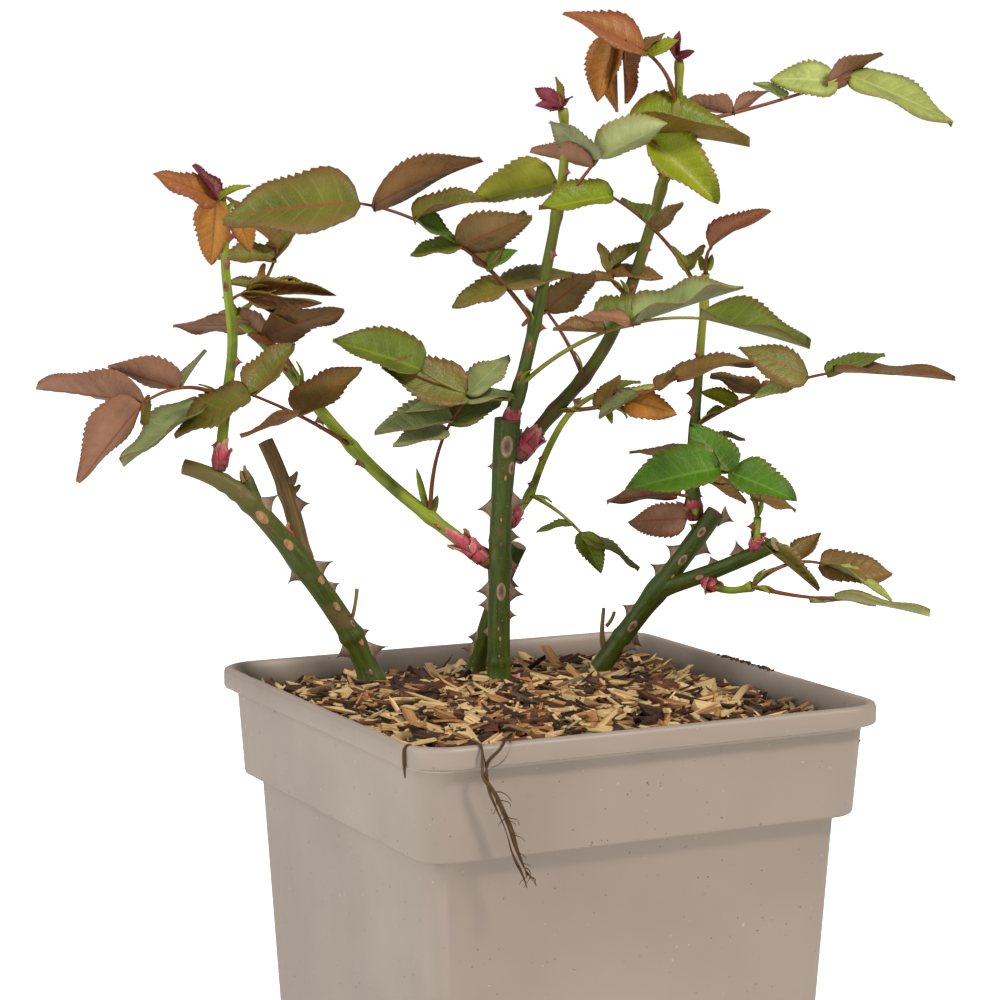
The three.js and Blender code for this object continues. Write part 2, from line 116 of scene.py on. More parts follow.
class Batch:
    # many small shapes gathered into one mesh, in millimetres
    def __init__(self):
        self.points, self.faces, self.slots, self.grain, self.marks = [], [], [], [], []
        self.count = 0

    def add(self, points, faces, slot, grain=None, marks=None):
        self.points.append(points)
        self.faces += [[i + self.count for i in face] for face in faces]
        self.slots += slot if isinstance(slot, list) else [slot] * len(faces)
        self.grain.append(points if grain is None else grain)
        self.marks.append(np.zeros((len(points), 3)) if marks is None else marks)
        self.count += len(points)

    def build(self, name, materials, recordSlot, smooth=True):
        mesh = bpy.data.meshes.new(name)
        points = np.vstack(self.points) * mm
        mesh.from_pydata(points.tolist(), [], self.faces)
        mesh.polygons.foreach_set("material_index", self.slots)
        mesh.polygons.foreach_set("use_smooth", [smooth] * len(self.faces))
        grain = mesh.attributes.new("grain", "FLOAT_VECTOR", "POINT")
        grain.data.foreach_set("vector", (np.vstack(self.grain) * mm).ravel())
        marks = mesh.attributes.new("marks", "FLOAT_VECTOR", "POINT")
        marks.data.foreach_set("vector", np.vstack(self.marks).ravel())
        for material in materials:
            mesh.materials.append(material)
        mesh.update()
        piece = bpy.data.objects.new(name, mesh)
        bpy.context.scene.collection.objects.link(piece)
        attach(piece, "root")
        return piece


def limbFrames(spec, steps, levelFoot=False):
    points, along = route(spec, steps)
    if levelFoot:
        along[0] = up
    reference = depthWay if abs(float(mix(spec["rise"], 0.5))) > 45 else up
    side = unit(np.cross(along, reference))
    return points, along, side, np.cross(side, along)


def laidOut(origin, *ways):
    # points that lie so far along each way from an origin
    return origin + sum(way * amount[:, None] for way, amount in ways)


def alike(t):
    # marks that hold one value three times
    return np.stack([t, t, t], axis=1)


def addLimb(batch, spec, slot, sides=10, step=2.5, levelFoot=False, relief=None, capSlot=None, marks=False):
    steps = max(3, round(spec["length"] / step))
    shape, faces = tubeShape(sides, steps)
    points, along, side, face = limbFrames(spec, steps, levelFoot)
    ring = np.round(shape[:, 2]).astype(int)
    t = ring / steps
    angle = np.arctan2(shape[:, 1], shape[:, 0])
    radius = mix(spec["radius"], t)
    straight = np.stack([np.cos(angle) * radius, np.sin(angle) * radius, t * spec["length"]], axis=1)
    if relief is not None:
        radius = radius + relief(straight)
    world = laidOut(points[ring], (side[ring], np.cos(angle) * radius), (face[ring], np.sin(angle) * radius))
    slots = [slot if len(f) == 4 or capSlot is None else capSlot for f in faces]
    batch.add(world, faces, slots, straight + np.array(spec["from"]) * 3.7, alike(t) if marks else None)


def noiseAt(points, scale, seed=0):
    return np.array([noise.noise(Vector((x * scale[0] + seed, y * scale[1], z * scale[2]))) for x, y, z in points])


def tone(r, g, b):
    # a display colour of 0 to 255 as a linear one
    def linear(c):
        c /= 255
        return c / 12.92 if c <= 0.04045 else ((c + 0.055) / 1.055) ** 2.4
    return (linear(r), linear(g), linear(b), 1)


def shaded(colour, share):
    return tuple(min(1, c * share) for c in colour[:3]) + (1,)


def feed(tree, socket, value):
    # links another node's socket, or sets the socket's own value
    if isinstance(value, bpy.types.NodeSocket):
        tree.links.new(value, socket)
    else:
        socket.default_value = value


def place(tree, kind, **values):
    # a new node with its settings, and its inputs fed by name
    node = tree.nodes.new(kind)
    for key, value in values.items():
        if hasattr(node, key):
            setattr(node, key, value)
        else:
            feed(tree, node.inputs[key], value)
    return node


def ranged(tree, source, low, high, first, last):
    return place(tree, "ShaderNodeMapRange", **{"Value": source, "From Min": low, "From Max": high,
                                                "To Min": first, "To Max": last}).outputs[0]


def blended(tree, factor, first, second, way="MIX"):
    # the first colour or socket, and the second one where the factor is 1
    return place(tree, "ShaderNodeMix", data_type="RGBA", blend_type=way, Factor=factor, A=first,
                 B=second).outputs["Result"]


def worked(tree, operation, *values):
    node = place(tree, "ShaderNodeMath", operation=operation)
    for socket, value in zip(node.inputs, values):
        feed(tree, socket, value)
    return node.outputs[0]


def noisy(tree, vector, scale, detail, roughness=0.5):
    return place(tree, "ShaderNodeTexNoise", Vector=vector, Scale=scale, Detail=detail,
                 Roughness=roughness).outputs["Fac"]


def ramped(tree, source, stops):
    ramp = place(tree, "ShaderNodeValToRGB", Fac=source)
    for i, (position, colour) in enumerate(stops):
        element = ramp.color_ramp.elements[i] if i < 2 else ramp.color_ramp.elements.new(position)
        element.position, element.color = position, tone(*colour)
    return ramp.outputs["Color"]


def attribute(tree, name):
    return place(tree, "ShaderNodeAttribute", attribute_name=name).outputs["Vector"]


def marksOf(tree):
    return place(tree, "ShaderNodeSeparateXYZ", Vector=attribute(tree, "marks")).outputs


def nodesOf(name):
    material = bpy.data.materials.new(name)
    material.use_nodes = True
    tree = material.node_tree
    return material, tree, tree.nodes["Principled BSDF"]


def surface(tree, shader, colour, roughness, gloss, height, bump, depth):
    raised = place(tree, "ShaderNodeBump", Strength=bump, Distance=depth, Height=height)
    for key, value in (("Base Color", colour), ("Roughness", roughness), ("Specular IOR Level", gloss),
                       ("Normal", raised.outputs["Normal"])):
        feed(tree, shader.inputs[key], value)


def newGroup(name, takes, gives):
    group = bpy.data.node_groups.new(name, "ShaderNodeTree")
    for way, sockets in (("INPUT", takes), ("OUTPUT", gives)):
        for socket in sockets:
            kind = "NodeSocketVector" if socket in ("Grain", "Marks") else "NodeSocketFloat"
            group.interface.new_socket(socket, in_out=way, socket_type=kind)
    return group, group.nodes.new("NodeGroupInput").outputs, group.nodes.new("NodeGroupOutput").inputs


def makeGrainGroup():
    # fine streaks along one way of the piece's own space, and soft blotches
    group, entry, leave = newGroup("fibreStreaks", ("Grain", "Across", "Along"), ("Streaks", "Blotches"))
    scale = place(group, "ShaderNodeCombineXYZ", X=entry["Across"], Y=entry["Across"], Z=entry["Along"])
    stretched = place(group, "ShaderNodeVectorMath", operation="MULTIPLY")
    group.links.new(entry["Grain"], stretched.inputs[0])
    group.links.new(scale.outputs[0], stretched.inputs[1])
    group.links.new(noisy(group, stretched.outputs[0], 1.0, 4.0, 0.6), leave["Streaks"])
    group.links.new(noisy(group, entry["Grain"], 90.0, 2.0), leave["Blotches"])
    return group


def makeVeinGroup():
    # masks of a leaf: its marks run from -1 to 1 across it, and from 0 at the root to 1 at the tip
    group, entry, leave = newGroup("leafVeins", ("Marks", "Grain"), ("Veins", "Rib", "Edge", "Blush", "Net"))
    split = place(group, "ShaderNodeSeparateXYZ", Vector=entry["Marks"]).outputs
    across = worked(group, "ABSOLUTE", split["X"])
    phase = worked(group, "MULTIPLY", split["Y"], leafletSizes["veins"])
    line = ranged(group, worked(group, "PINGPONG", phase, 0.5), 0.03, 0.1, 1, 0)
    cells = place(group, "ShaderNodeTexVoronoi", feature="DISTANCE_TO_EDGE", Vector=entry["Grain"], Scale=750.0)
    for name, mask in (("Veins", worked(group, "MULTIPLY", line, ranged(group, across, 0.2, 0.95, 1, 0.25))),
                       ("Rib", ranged(group, across, 0.03, 0.09, 1, 0)), ("Edge", across),
                       ("Blush", noisy(group, entry["Grain"], 75.0, 3.0, 0.55)),
                       ("Net", ranged(group, cells.outputs["Distance"], 0, 0.22, 0, 1))):
        group.links.new(mask, leave[name])
    return group


def barkMaterial(name, light, dark, roughness, across, along, bump, blush=None, tip=None, specks=None):
    # blush: a colour and where its blotches start; tip: a colour and the shares of the stem it comes in over
    material, tree, shader = nodesOf(name)
    grain = attribute(tree, "grain")
    fibres = place(tree, "ShaderNodeGroup", node_tree=fibreStreaks, Grain=grain, Across=across, Along=along).outputs
    colour = ramped(tree, fibres["Streaks"], [(0.34, dark), (0.66, light)])
    if blush:
        patches = ranged(tree, fibres["Blotches"], blush[1], blush[1] + 0.14, 0, 1)
        colour = blended(tree, patches, colour, tone(*blush[0]))
    if tip:
        colour = blended(tree, ranged(tree, marksOf(tree)["X"], tip[1], tip[2], 0, 0.85), colour, tone(*tip[0]))
    if specks:
        dots = ranged(tree, noisy(tree, grain, 1100.0, 1.0), 0.7, 0.74, 0, 0.8)
        colour = blended(tree, dots, colour, tone(*specks))
    surface(tree, shader, colour, roughness, 0.3, fibres["Streaks"], bump, 0.0006)
    return material


def leafMaterial(name, blade, veins, rib, margin, roughness, marginReach, gloss):
    material, tree, shader = nodesOf(name)
    leaf = place(tree, "ShaderNodeGroup", node_tree=leafVeins, Marks=attribute(tree, "marks"),
                 Grain=attribute(tree, "grain")).outputs
    colour = blended(tree, ranged(tree, leaf["Blush"], 0.32, 0.68, 0, 1), shaded(blade, 0.72), shaded(blade, 1.2))
    reach = worked(tree, "MULTIPLY", ranged(tree, leaf["Edge"], marginReach, 1, 0, 1),
                   ranged(tree, leaf["Blush"], 0.3, 0.6, 0.45, 1))
    for mask, paint in ((reach, margin), (worked(tree, "MULTIPLY", leaf["Veins"], 0.34), veins),
                        (worked(tree, "MULTIPLY", leaf["Rib"], 0.72), rib),
                        (ranged(tree, leaf["Net"], 0, 1, 0.16, 0), veins)):
        colour = blended(tree, mask, colour, paint)
    creases = worked(tree, "SUBTRACT", leaf["Net"], leaf["Veins"])
    surface(tree, shader, colour, roughness, gloss, creases, 0.25, 0.00025)
    shader.inputs["Specular Tint"].default_value = (1, 0.96, 0.82, 1)
    return material


def tippedMaterial(name, stops, roughness, bump):
    # marks hold how far along a scale, thorn or scar each point is
    material, tree, shader = nodesOf(name)
    fibres = place(tree, "ShaderNodeGroup", node_tree=fibreStreaks, Grain=attribute(tree, "grain"),
                   Across=1100, Along=420).outputs
    dark = ranged(tree, fibres["Streaks"], 0.35, 0.6, 0.5, 0)
    colour = blended(tree, dark, ramped(tree, marksOf(tree)["X"], stops), tone(120, 96, 84), "MULTIPLY")
    surface(tree, shader, colour, roughness, 0.5, fibres["Streaks"], bump, 0.0004)
    return material


def plasticMaterial(name, colour):
    # marks hold how far inside the pot a point is, for the painted shade there, and how near the moulding line
    material, tree, shader = nodesOf(name)
    where = place(tree, "ShaderNodeTexCoord").outputs["Object"]
    marks = marksOf(tree)
    smears = noisy(tree, where, 38.0, 5.0, 0.65)
    cloud = ranged(tree, noisy(tree, where, 16.0, 3.0), 0.3, 0.7, 0, 1)
    # painted shade: the inner wall darkens down towards the mulch, blotched by the smear noise
    innerShade = worked(tree, "MULTIPLY", marks["X"], ranged(tree, smears, 0.4, 0.62, 0.75, 1))
    base = blended(tree, cloud, shaded(colour, 0.92), shaded(colour, 1.06))
    for mask, paint in ((ranged(tree, noisy(tree, where, 430.0, 1.0), 0.77, 0.8, 0, 0.4), (214, 204, 192)),
                        (ranged(tree, marks["Y"], 0.2, 1, 0, 0.6), (222, 212, 198)),
                        (ranged(tree, noisy(tree, where, 620.0, 1.0), 0.755, 0.8, 0, 0.8), (74, 56, 42)),
                        (innerShade, (98, 86, 68))):
        base = blended(tree, mask, base, tone(*paint))
    roughness = ranged(tree, smears, 0.3, 0.7, 0.38, 0.52)
    surface(tree, shader, base, roughness, 0.4, noisy(tree, where, 55.0, 1.0), 0.1, 0.002)
    return material


leafletSizes = {"width": 0.32, "rows": 48, "columns": 6, "thick": 0.35, "veins": 8}
fibreStreaks = makeGrainGroup()
leafVeins = makeVeinGroup()
greenBark = barkMaterial("greenBark", (80, 94, 26), (54, 66, 16), 0.46, 700, 90, 0.3,
                         ((100, 88, 44), 0.6), None, (128, 112, 66))
leaningBark = barkMaterial("leaningBark", (84, 96, 32), (58, 68, 22), 0.5, 700, 90, 0.3,
                           ((106, 92, 52), 0.56), ((120, 104, 56), 0.6, 1), (134, 116, 72))
deadBark = barkMaterial("deadBark", (148, 122, 74), (104, 80, 46), 0.7, 900, 60, 0.6, ((112, 104, 54), 0.58))
rootBark = barkMaterial("rootBark", (106, 78, 48), (54, 36, 24), 0.85, 1800, 120, 0.6)
cutWood = barkMaterial("cutWood", (176, 158, 118), (120, 100, 70), 0.8, 1500, 1500, 0.4)
tanScar = tippedMaterial("tanScar", [(0, (192, 146, 104)), (0.8, (186, 138, 94)), (0.9, (118, 86, 56)),
                                     (1, (82, 72, 36))], 0.75, 0.3)
greyScar = tippedMaterial("greyScar", [(0, (88, 70, 54)), (0.4, (122, 100, 80)), (0.74, (186, 156, 122)),
                                       (1, (92, 78, 42))], 0.75, 0.5)
thornWood = tippedMaterial("thornWood", [(0, (176, 138, 90)), (0.07, (160, 138, 110)), (0.5, (134, 110, 86)),
                                         (1, (68, 48, 38))], 0.55, 0.5)
redThorn = tippedMaterial("redThorn", [(0, (132, 118, 60)), (0.3, (158, 84, 66)), (1, (120, 50, 44))], 0.45, 0.2)
youngBark = barkMaterial("youngBark", (150, 164, 46), (114, 130, 28), 0.42, 500, 40, 0.1, ((92, 102, 30), 0.54))
deepBark = barkMaterial("deepBark", (80, 92, 22), (58, 68, 12), 0.42, 500, 40, 0.1,
                        ((104, 112, 40), 0.6), ((148, 150, 50), 0.4, 0.75))
blushBark = barkMaterial("blushBark", (100, 82, 36), (76, 58, 26), 0.42, 500, 40, 0.1,
                         ((76, 86, 20), 0.42), ((146, 142, 50), 0.5, 0.8))
redStalk = barkMaterial("redStalk", (140, 82, 44), (102, 50, 32), 0.45, 500, 40, 0.1)
greenStalk = barkMaterial("greenStalk", (140, 142, 54), (112, 98, 38), 0.45, 500, 40, 0.1)
budScale = tippedMaterial("budScale", [(0, (96, 68, 40)), (0.12, (150, 76, 66)), (0.3, (204, 66, 92)),
                                       (0.62, (224, 122, 128)), (0.82, (216, 172, 128)), (1, (186, 184, 98))],
                          0.42, 0.2)
potPlastic = plasticMaterial("potPlastic", tone(166, 151, 138))


potSizes = {
    "height": 240, "rimHalf": 100, "rimCorner": 17.5, "rimDepth": 8,
    "bandTopHalf": 94.9, "bandFootHalf": 92.9, "bandCorner": 13.6, "bandFoot": 196.5,
    "bodyHalf": 86.8, "baseHalf": 76.3, "bodyCorner": 11.3, "chamfer": 2,
    "wall": 1.8, "rimWall": 4, "floor": 3, "cornerSteps": 12, "flatSteps": 44,
    "ripple": 0.4, "flash": (1.2, 0.35),
}


def roundedSquare(p, index, half, corner):
    # places along a rounded square, so many round each corner and so many along each side
    quarter, step = np.divmod(index, p["cornerSteps"] + p["flatSteps"])
    inner = half - corner
    bend = np.radians(90 * np.minimum(step, p["cornerSteps"]) / p["cornerSteps"])
    x = inner + corner * np.cos(bend) - 2 * inner * np.maximum(step - p["cornerSteps"], 0) / p["flatSteps"]
    y = inner + corner * np.sin(bend)
    turn = np.radians(quarter * 90)
    return x * np.cos(turn) - y * np.sin(turn), x * np.sin(turn) + y * np.cos(turn)


def potProfile(p):
    # half width, corner and height of each ring, up the outside and down the inside
    top, rim, rimCorner, lip, wall = (p[key] for key in ("height", "rimHalf", "rimCorner", "rimWall", "wall"))
    band, bandLow, bandCorner, step = (p[key] for key in ("bandTopHalf", "bandFootHalf", "bandCorner", "bandFoot"))
    body, base, corner, chamfer = (p[key] for key in ("bodyHalf", "baseHalf", "bodyCorner", "chamfer"))
    rimFoot = top - p["rimDepth"]
    return [
        (base - chamfer, corner - chamfer, 0), (base - 0.6, corner - 0.6, 0.5), (base, corner, chamfer),
        (base + 3.5, corner, 65), (base + 7, corner, 130), (body, corner, step - 0.5), (body + 0.5, corner, step),
        (bandLow - 1.2, bandCorner - 1, step), (bandLow - 0.3, bandCorner, step + 0.4),
        (bandLow, bandCorner, step + 1.3), (band, bandCorner, rimFoot - 2.2),
        (band + p["flash"][1], bandCorner, rimFoot - p["flash"][0]), (band, bandCorner, rimFoot - 0.4),
        (band + 0.5, bandCorner, rimFoot), (rim - 0.9, rimCorner, rimFoot), (rim - 0.2, rimCorner, rimFoot + 0.3),
        (rim, rimCorner, rimFoot + 1), (rim, rimCorner, top - 1.6), (rim - 0.45, rimCorner - 0.4, top - 0.5),
        (rim - 1.5, rimCorner - 1.4, top), (rim - lip + 0.9, rimCorner - lip + 0.9, top),
        (rim - lip + 0.2, rimCorner - lip, top - 0.6), (rim - lip - 0.4, rimCorner - lip, top - 3),
        (band - wall, bandCorner - wall, rimFoot - 2), (bandLow - wall, bandCorner - wall, step + wall),
        (body - wall - 0.1, corner - wall, step - 2), (base - wall + 0.1, corner - wall, p["floor"]),
    ]


def buildPot(p):
    profile = np.array(potProfile(p))
    sides = 4 * (p["cornerSteps"] + p["flatSteps"])
    shape, faces = tubeShape(sides, len(profile) - 1)
    ring = np.round(shape[:, 2]).astype(int)
    half, corner, z = profile[ring].T
    index = np.round(np.arctan2(shape[:, 1], shape[:, 0]) / (2 * np.pi) * sides).astype(int) % sides
    x, y = roundedSquare(p, index, half, corner)
    rimFoot = p["height"] - p["rimDepth"]
    # painted shade: inside the pot the wall darkens over the 9 mm down to the mulch
    innerShade = np.where(ring > len(profile) - 7, np.clip((p["height"] - 1 - z) / 9, 0, 1), 0)
    lined = (abs(z - rimFoot + p["flash"][0]) < 0.2) & (innerShade == 0)
    # the rim's wall ripples as it cools, most on one side
    push = noiseAt(np.stack([x, y, z], axis=1), (0.13, 0.13, 0.03)) - 0.4 * np.sin(y * 0.75 + x * 0.2)
    push = push * p["ripple"] * np.where(x < -95, 1, 0.35) * ((z > rimFoot - 4) & (innerShade == 0))
    sideways = abs(x) > abs(y)
    points = np.stack([x + push * sideways * np.sign(x), y + push * ~sideways * np.sign(y), z], axis=1)
    shell = Batch()
    shell.add(points, faces, 0, marks=np.stack([innerShade, lined, 0 * z], axis=1))
    piece = shell.build("potShell", [potPlastic], "pot_plastic")
    piece.data.set_sharp_from_angle(angle=math.radians(50))
    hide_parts("pot")
    print("pot done")


buildPot(potSizes)


mulchSizes = {"crown": 238, "edge": 228.5, "half": 91.6, "corner": 11.5, "chips": 3900, "lumps": 420, "seed": 12}


def insideWalls(points, half, corner):
    # draws points that stand outside a rounded square back to its edge
    flat = np.clip(points[:, :2], -half, half)
    core = np.clip(flat, corner - half, half - corner)
    off = flat - core
    far = np.maximum(np.linalg.norm(off, axis=1, keepdims=True), 1e-6)
    points[:, :2] = core + off * np.minimum(1, corner / far)
    return points


def mulchHeight(x, y, m):
    share = np.maximum(abs(x), abs(y)) / m["half"]
    return m["edge"] + (m["crown"] - m["edge"]) * np.clip(1 - share ** 2, 0, 1)


def chipShapes(count, random):
    # splintered chips of unit size: a cube cut along its length and jittered
    shapes = []
    for _ in range(count):
        bm = bmesh.new()
        bmesh.ops.create_cube(bm, size=1)
        long = [e for e in bm.edges if abs(e.verts[0].co.x - e.verts[1].co.x) > 0.5]
        bmesh.ops.subdivide_edges(bm, edges=long, cuts=1, use_grid_fill=True)
        points, faces = arraysOf(bm)
        points += random.normal(0, 0.07, points.shape)
        points[:, 1] *= np.where(abs(points[:, 0]) > 0.3, random.uniform(0.55, 1.1), 1)
        shapes.append((points, faces))
    return shapes


# ranges, in millimetres
chipSizes = {
    "lump": {"layer": (-3, -0.2), "length": (6, 16), "thick": (2, 4.5), "tilt": 0.17},
    "splinter": {"layer": (-3.6, 0.9), "length": (5, 20), "thick": (0.5, 1.3), "tilt": 0.26, "width": (0.5, 1.5)},
    "chip": {"layer": (-3.6, 0.9), "shortest": 7, "longest": 32, "thick": (0.6, 2), "tilt": 0.17},
}


def buildMulch(m, canes):
    random = np.random.default_rng(m["seed"])
    soil = Batch()
    bm = bmesh.new()
    bmesh.ops.create_grid(bm, x_segments=60, y_segments=60, size=m["half"])
    points, faces = arraysOf(bm)
    points[:, 2] = mulchHeight(points[:, 0], points[:, 1], m) - 3 + 2.5 * noiseAt(points, (0.12, 0.12, 0.1))
    soil.add(insideWalls(points, m["half"], m["corner"]), faces, 0)
    soilPiece = soil.build("soilBed", [soilMix], "bark_mulch")
    shell = soilPiece.modifiers.new("depth", "SOLIDIFY")
    shell.thickness, shell.offset = 0.004, -1
    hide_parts("mulch")

    chips = Batch()
    shapes = chipShapes(24, random)
    for i in range(m["chips"]):
        x, y = random.uniform(-m["half"], m["half"], 2)
        if any(np.hypot(x - c["from"][0], y - c["from"][1]) < c["radius"][0] + 1 for c in canes):
            continue
        lump, splinter = i < m["lumps"], i > m["chips"] * 0.6
        sizes = chipSizes["lump" if lump else "splinter" if splinter else "chip"]
        layer = random.uniform(*sizes["layer"])
        if "length" in sizes:
            length = random.uniform(*sizes["length"])
        else:
            length = min(sizes["longest"], sizes["shortest"] + random.gamma(2.4, 4.2))
        if lump:
            width = length * random.uniform(0.45, 0.8)
        else:
            width = random.uniform(0.8, 2.4) + length * random.uniform(0.02, 0.12)
        if splinter:
            width, layer = random.uniform(*sizes["width"]), layer + 0.5
        points, faces = shapes[i % len(shapes)]
        points = points * (length, width, random.uniform(*sizes["thick"]))
        turn = Matrix.Rotation(random.uniform(0, 6.3), 3, "Z")
        turn = turn @ Matrix.Rotation(random.normal(0, sizes["tilt"]), 3, "Y")
        turn = turn @ Matrix.Rotation(random.normal(0, 0.28), 3, "X")
        within = m["half"] - length * 0.35
        x, y = (float(np.clip(c, -within, within)) for c in (x, y))
        world = points @ np.array(turn).T + (x, y, mulchHeight(x, y, m) + layer)
        kind = int(random.choice(len(chipWoods), p=lumpShares if lump else chipShares))
        chips.add(insideWalls(world, m["half"], m["corner"]), faces, kind, points[:, [1, 2, 0]] + i * 7.3)
    piece = chips.build("barkChips", chipWoods, "bark_mulch", smooth=False)
    piece.data.set_sharp_from_angle(angle=math.radians(40))
    print("mulch done", len(chips.faces))


soilMix = barkMaterial("soilMix", (66, 48, 36), (28, 20, 16), 0.95, 400, 400, 0.8)
chipWoods = [
    barkMaterial("strawChip", (234, 206, 152), (198, 162, 106), 0.75, 1600, 70, 0.6),
    barkMaterial("tanChip", (196, 148, 92), (146, 102, 62), 0.75, 1600, 70, 0.6),
    barkMaterial("rustChip", (122, 76, 52), (74, 44, 30), 0.85, 900, 200, 0.7),
    barkMaterial("darkChip", (82, 56, 42), (40, 26, 20), 0.9, 900, 200, 0.7),
    barkMaterial("greyChip", (150, 128, 98), (100, 80, 58), 0.85, 1400, 60, 0.5),
]
chipShares = [0.4, 0.22, 0.12, 0.19, 0.07]
lumpShares = [0.04, 0.06, 0.45, 0.45, 0]


# thorns: at, heading, rise and reach from the cane's middle; scars: at, heading, half length and kind
canes = {
    "cane_middle": {
        "from": [-7, 21.5, 229], "heading": [-140, -66, -76], "rise": [88, 89, 82], "length": 115,
        "radius": [4.7, 4.5, 4.4, 4.3, 5.3], "relief": 0.12,
        "swells": [(7, 0.9, 4), (17, 0.5, 1.2), (57, 0.5, 5), (66, 0.4, 1.5)],
        "thorns": [(46, 153, 0, 9.6), (40, 145, 5, 8.8), (45, -27, 0, 10.4), (56, -20, 5, 8.2), (68, -27, 0, 8.2),
                   (79, 153, 0, 10), (82, -27, 5, 11), (36, -30, 5, 7.2), (29, 150, 5, 7), (34, -100, 5, 5.4),
                   (65, -112, 0, 6.4), (10, -110, 10, 6.2), (96, 170, 5, 7)],
        "scars": [(105, -110, 5.2, "grey"), (96, -75, 3, "grey"), (46, -106, 4.2, "grey"), (92, -105, 1.2, "tan"),
                  (31, -118, 0.8, "tan"), (27, -110, 1.1, "tan"), (75, -115, 0.9, "tan"), (20, -115, 0.6, "tan")],
    },
    "cane_left": {
        "from": [-45, 57, 229], "heading": [172, 179, 180, 176, 145], "rise": [75, 57, 53, 47, 13], "length": 129,
        "radius": [4.7, 4.6, 4.3, 3.8, 3.2], "relief": 0.16,
        "swells": [(7, 1.3, 4), (28, 0.8, 2), (66, 0.8, 7), (99, 0.8, 3), (106, 0.6, 2), (112, 0.4, 1.5)],
        "thorns": [(19, -27, 15, 11.5), (23, 168, -20, 10), (27, -27, 25, 8), (11, -100, 0, 7.4), (50, -27, 35, 8),
                   (60, -27, 30, 11.3), (63, 172, -35, 9.5), (94, -27, 50, 10.8), (37, -60, 10, 5.4)],
        "scars": [(92, -117, 4.1, "tan"), (76, -98, 3.4, "tan"), (65, -138, 3.5, "tan"), (57, -68, 3.6, "tan"),
                  (43, -85, 2.6, "tan"), (25, -75, 2.5, "tan"), (105, -117, 1.7, "tan"), (33, -60, 1.9, "grey")],
    },
    "cane_rear": {
        "from": [-3.5, 53.5, 229], "heading": [-86, -57], "rise": [72, 61], "length": 68, "radius": [3.5, 3.3, 3.2],
        "relief": 0.25, "swells": [(7, 1, 4)],
        "thorns": [(18, 153, 10, 8), (24, 170, 10, 7), (50, -27, 10, 7.5), (40, -27, 10, 7)],
        "scars": [(58, -80, 3, "tan")],
    },
    "cane_right": {
        "from": [32, 24, 229], "heading": [-41, -46, -49], "rise": [56, 53, 54], "length": 95,
        "radius": [4.2, 4, 3.9, 3.8], "relief": 0.2, "swells": [(7, 1, 4), (54, 0.9, 6), (30, 0.5, 1.5)],
        "thorns": [(28, -50, 5, 9), (31, -27, -20, 9), (41, 150, 45, 8), (62, 150, 45, 9), (72, 145, 45, 8.5),
                   (79, -27, -10, 9), (94, -27, 10, 9), (85, 150, 40, 6)],
        "scars": [(37, -112, 3.2, "grey"), (72, -112, 3, "grey"), (86, -125, 2.8, "grey"), (51, -105, 1, "tan"),
                  (64, -100, 1.2, "tan")],
    },
}
caneBranch = {
    "from": [56, 1, 274], "heading": [-57, -63], "rise": [19, 27], "length": 56, "radius": [3.5, 3.2, 3],
    "thorns": [(38, -40, 75, 8.5), (26, 100, 60, 6.5)], "scars": [(20, -117, 2.2, "tan")],
    "relief": 0.2, "swells": [(0, 0.6, 4)],
}
deadStub = {
    "from": [-75.5, 60.5, 286.5], "heading": [111, 133, 132], "rise": [77, 71, 62], "length": 50,
    "radius": [3.7, 3.2, 3.2], "thorns": [(22, -27, 5, 8), (31, -27, 25, 5.5)], "scars": [(27, -105, 1.7, "tan")],
    "relief": 0.25, "swells": [(0, 1, 4), (28, 0.6, 3)],
}
deadTwigs = [
    {"from": [-57.9, 56, 256.5], "heading": [-27, -27], "rise": [70, 86], "length": 18,
     "radius": [1.5, 0.75, 0.7, 0.9]},
    {"from": [-96.5, 58.8, 310], "heading": [153, 150], "rise": [66, 80], "length": 14,
     "radius": [3.5, 3.3, 3, 2.6, 1.5], "green": True},
    {"from": [-99.5, 58, 320], "heading": [120, 150], "rise": [60, 88], "length": 6, "radius": [1.2, 0.9, 0.4]},
    {"from": [-101.5, 58, 319], "heading": [150, 120], "rise": [70, 80], "length": 5, "radius": [1, 0.8, 0.3]},
    {"from": [-80, 67, 316], "heading": [-27, -40], "rise": [30, 70], "length": 7.5, "radius": [2, 2.2, 1.2, 0.4]},
    {"from": [-79.8, 66.8, 313], "heading": [-27, -20], "rise": [10, 50], "length": 6.5, "radius": [1.8, 1.6, 0.5]},
    {"from": [39.5, 17, 246], "heading": [150, -27], "rise": [72, 86], "length": 19, "radius": [1.3, 0.9, 0.8]},
    {"from": [39.3, 16.4, 257.5], "heading": [-27, -27], "rise": [45, 78], "length": 7, "radius": [0.8, 0.6]},
]


# small dormant buds beside a cane: from, heading, rise, and length and radius of the foot
dormantBuds = {
    "cane_middle": [{"from": [-4, 19.5, 236], "heading": [-27], "rise": [35], "foot": (7, 2.2)},
                    {"from": [-11, 24, 289], "heading": [153], "rise": [40], "foot": (5, 1.6)}],
    "cane_left": [{"from": [-81, 58.5, 294], "heading": [150], "rise": [60], "foot": (7, 2)}],
}


def barkRelief(seed, depth, swells=()):
    def relief(straight):
        rise = noiseAt(straight, (0.35, 0.35, 0.05), seed) + 0.6 * noiseAt(straight, (0.1, 0.1, 0.07), seed + 9)
        rise = depth * rise
        for at, amount, width in swells:
            rise = rise + amount * np.exp(-((straight[:, 2] - at) / width) ** 2)
        return rise
    return relief


def onBark(spec, at, heading, rise, square):
    # the cane's middle, way and radius at a thorn or scar, and its way out, turned square to the cane by a share
    point, along = stationAt(route(spec, 40), at / spec["length"])
    out = direction(heading, rise)
    return point, along, float(mix(spec["radius"], at / spec["length"])), unit(out - along * (out @ along) * square)


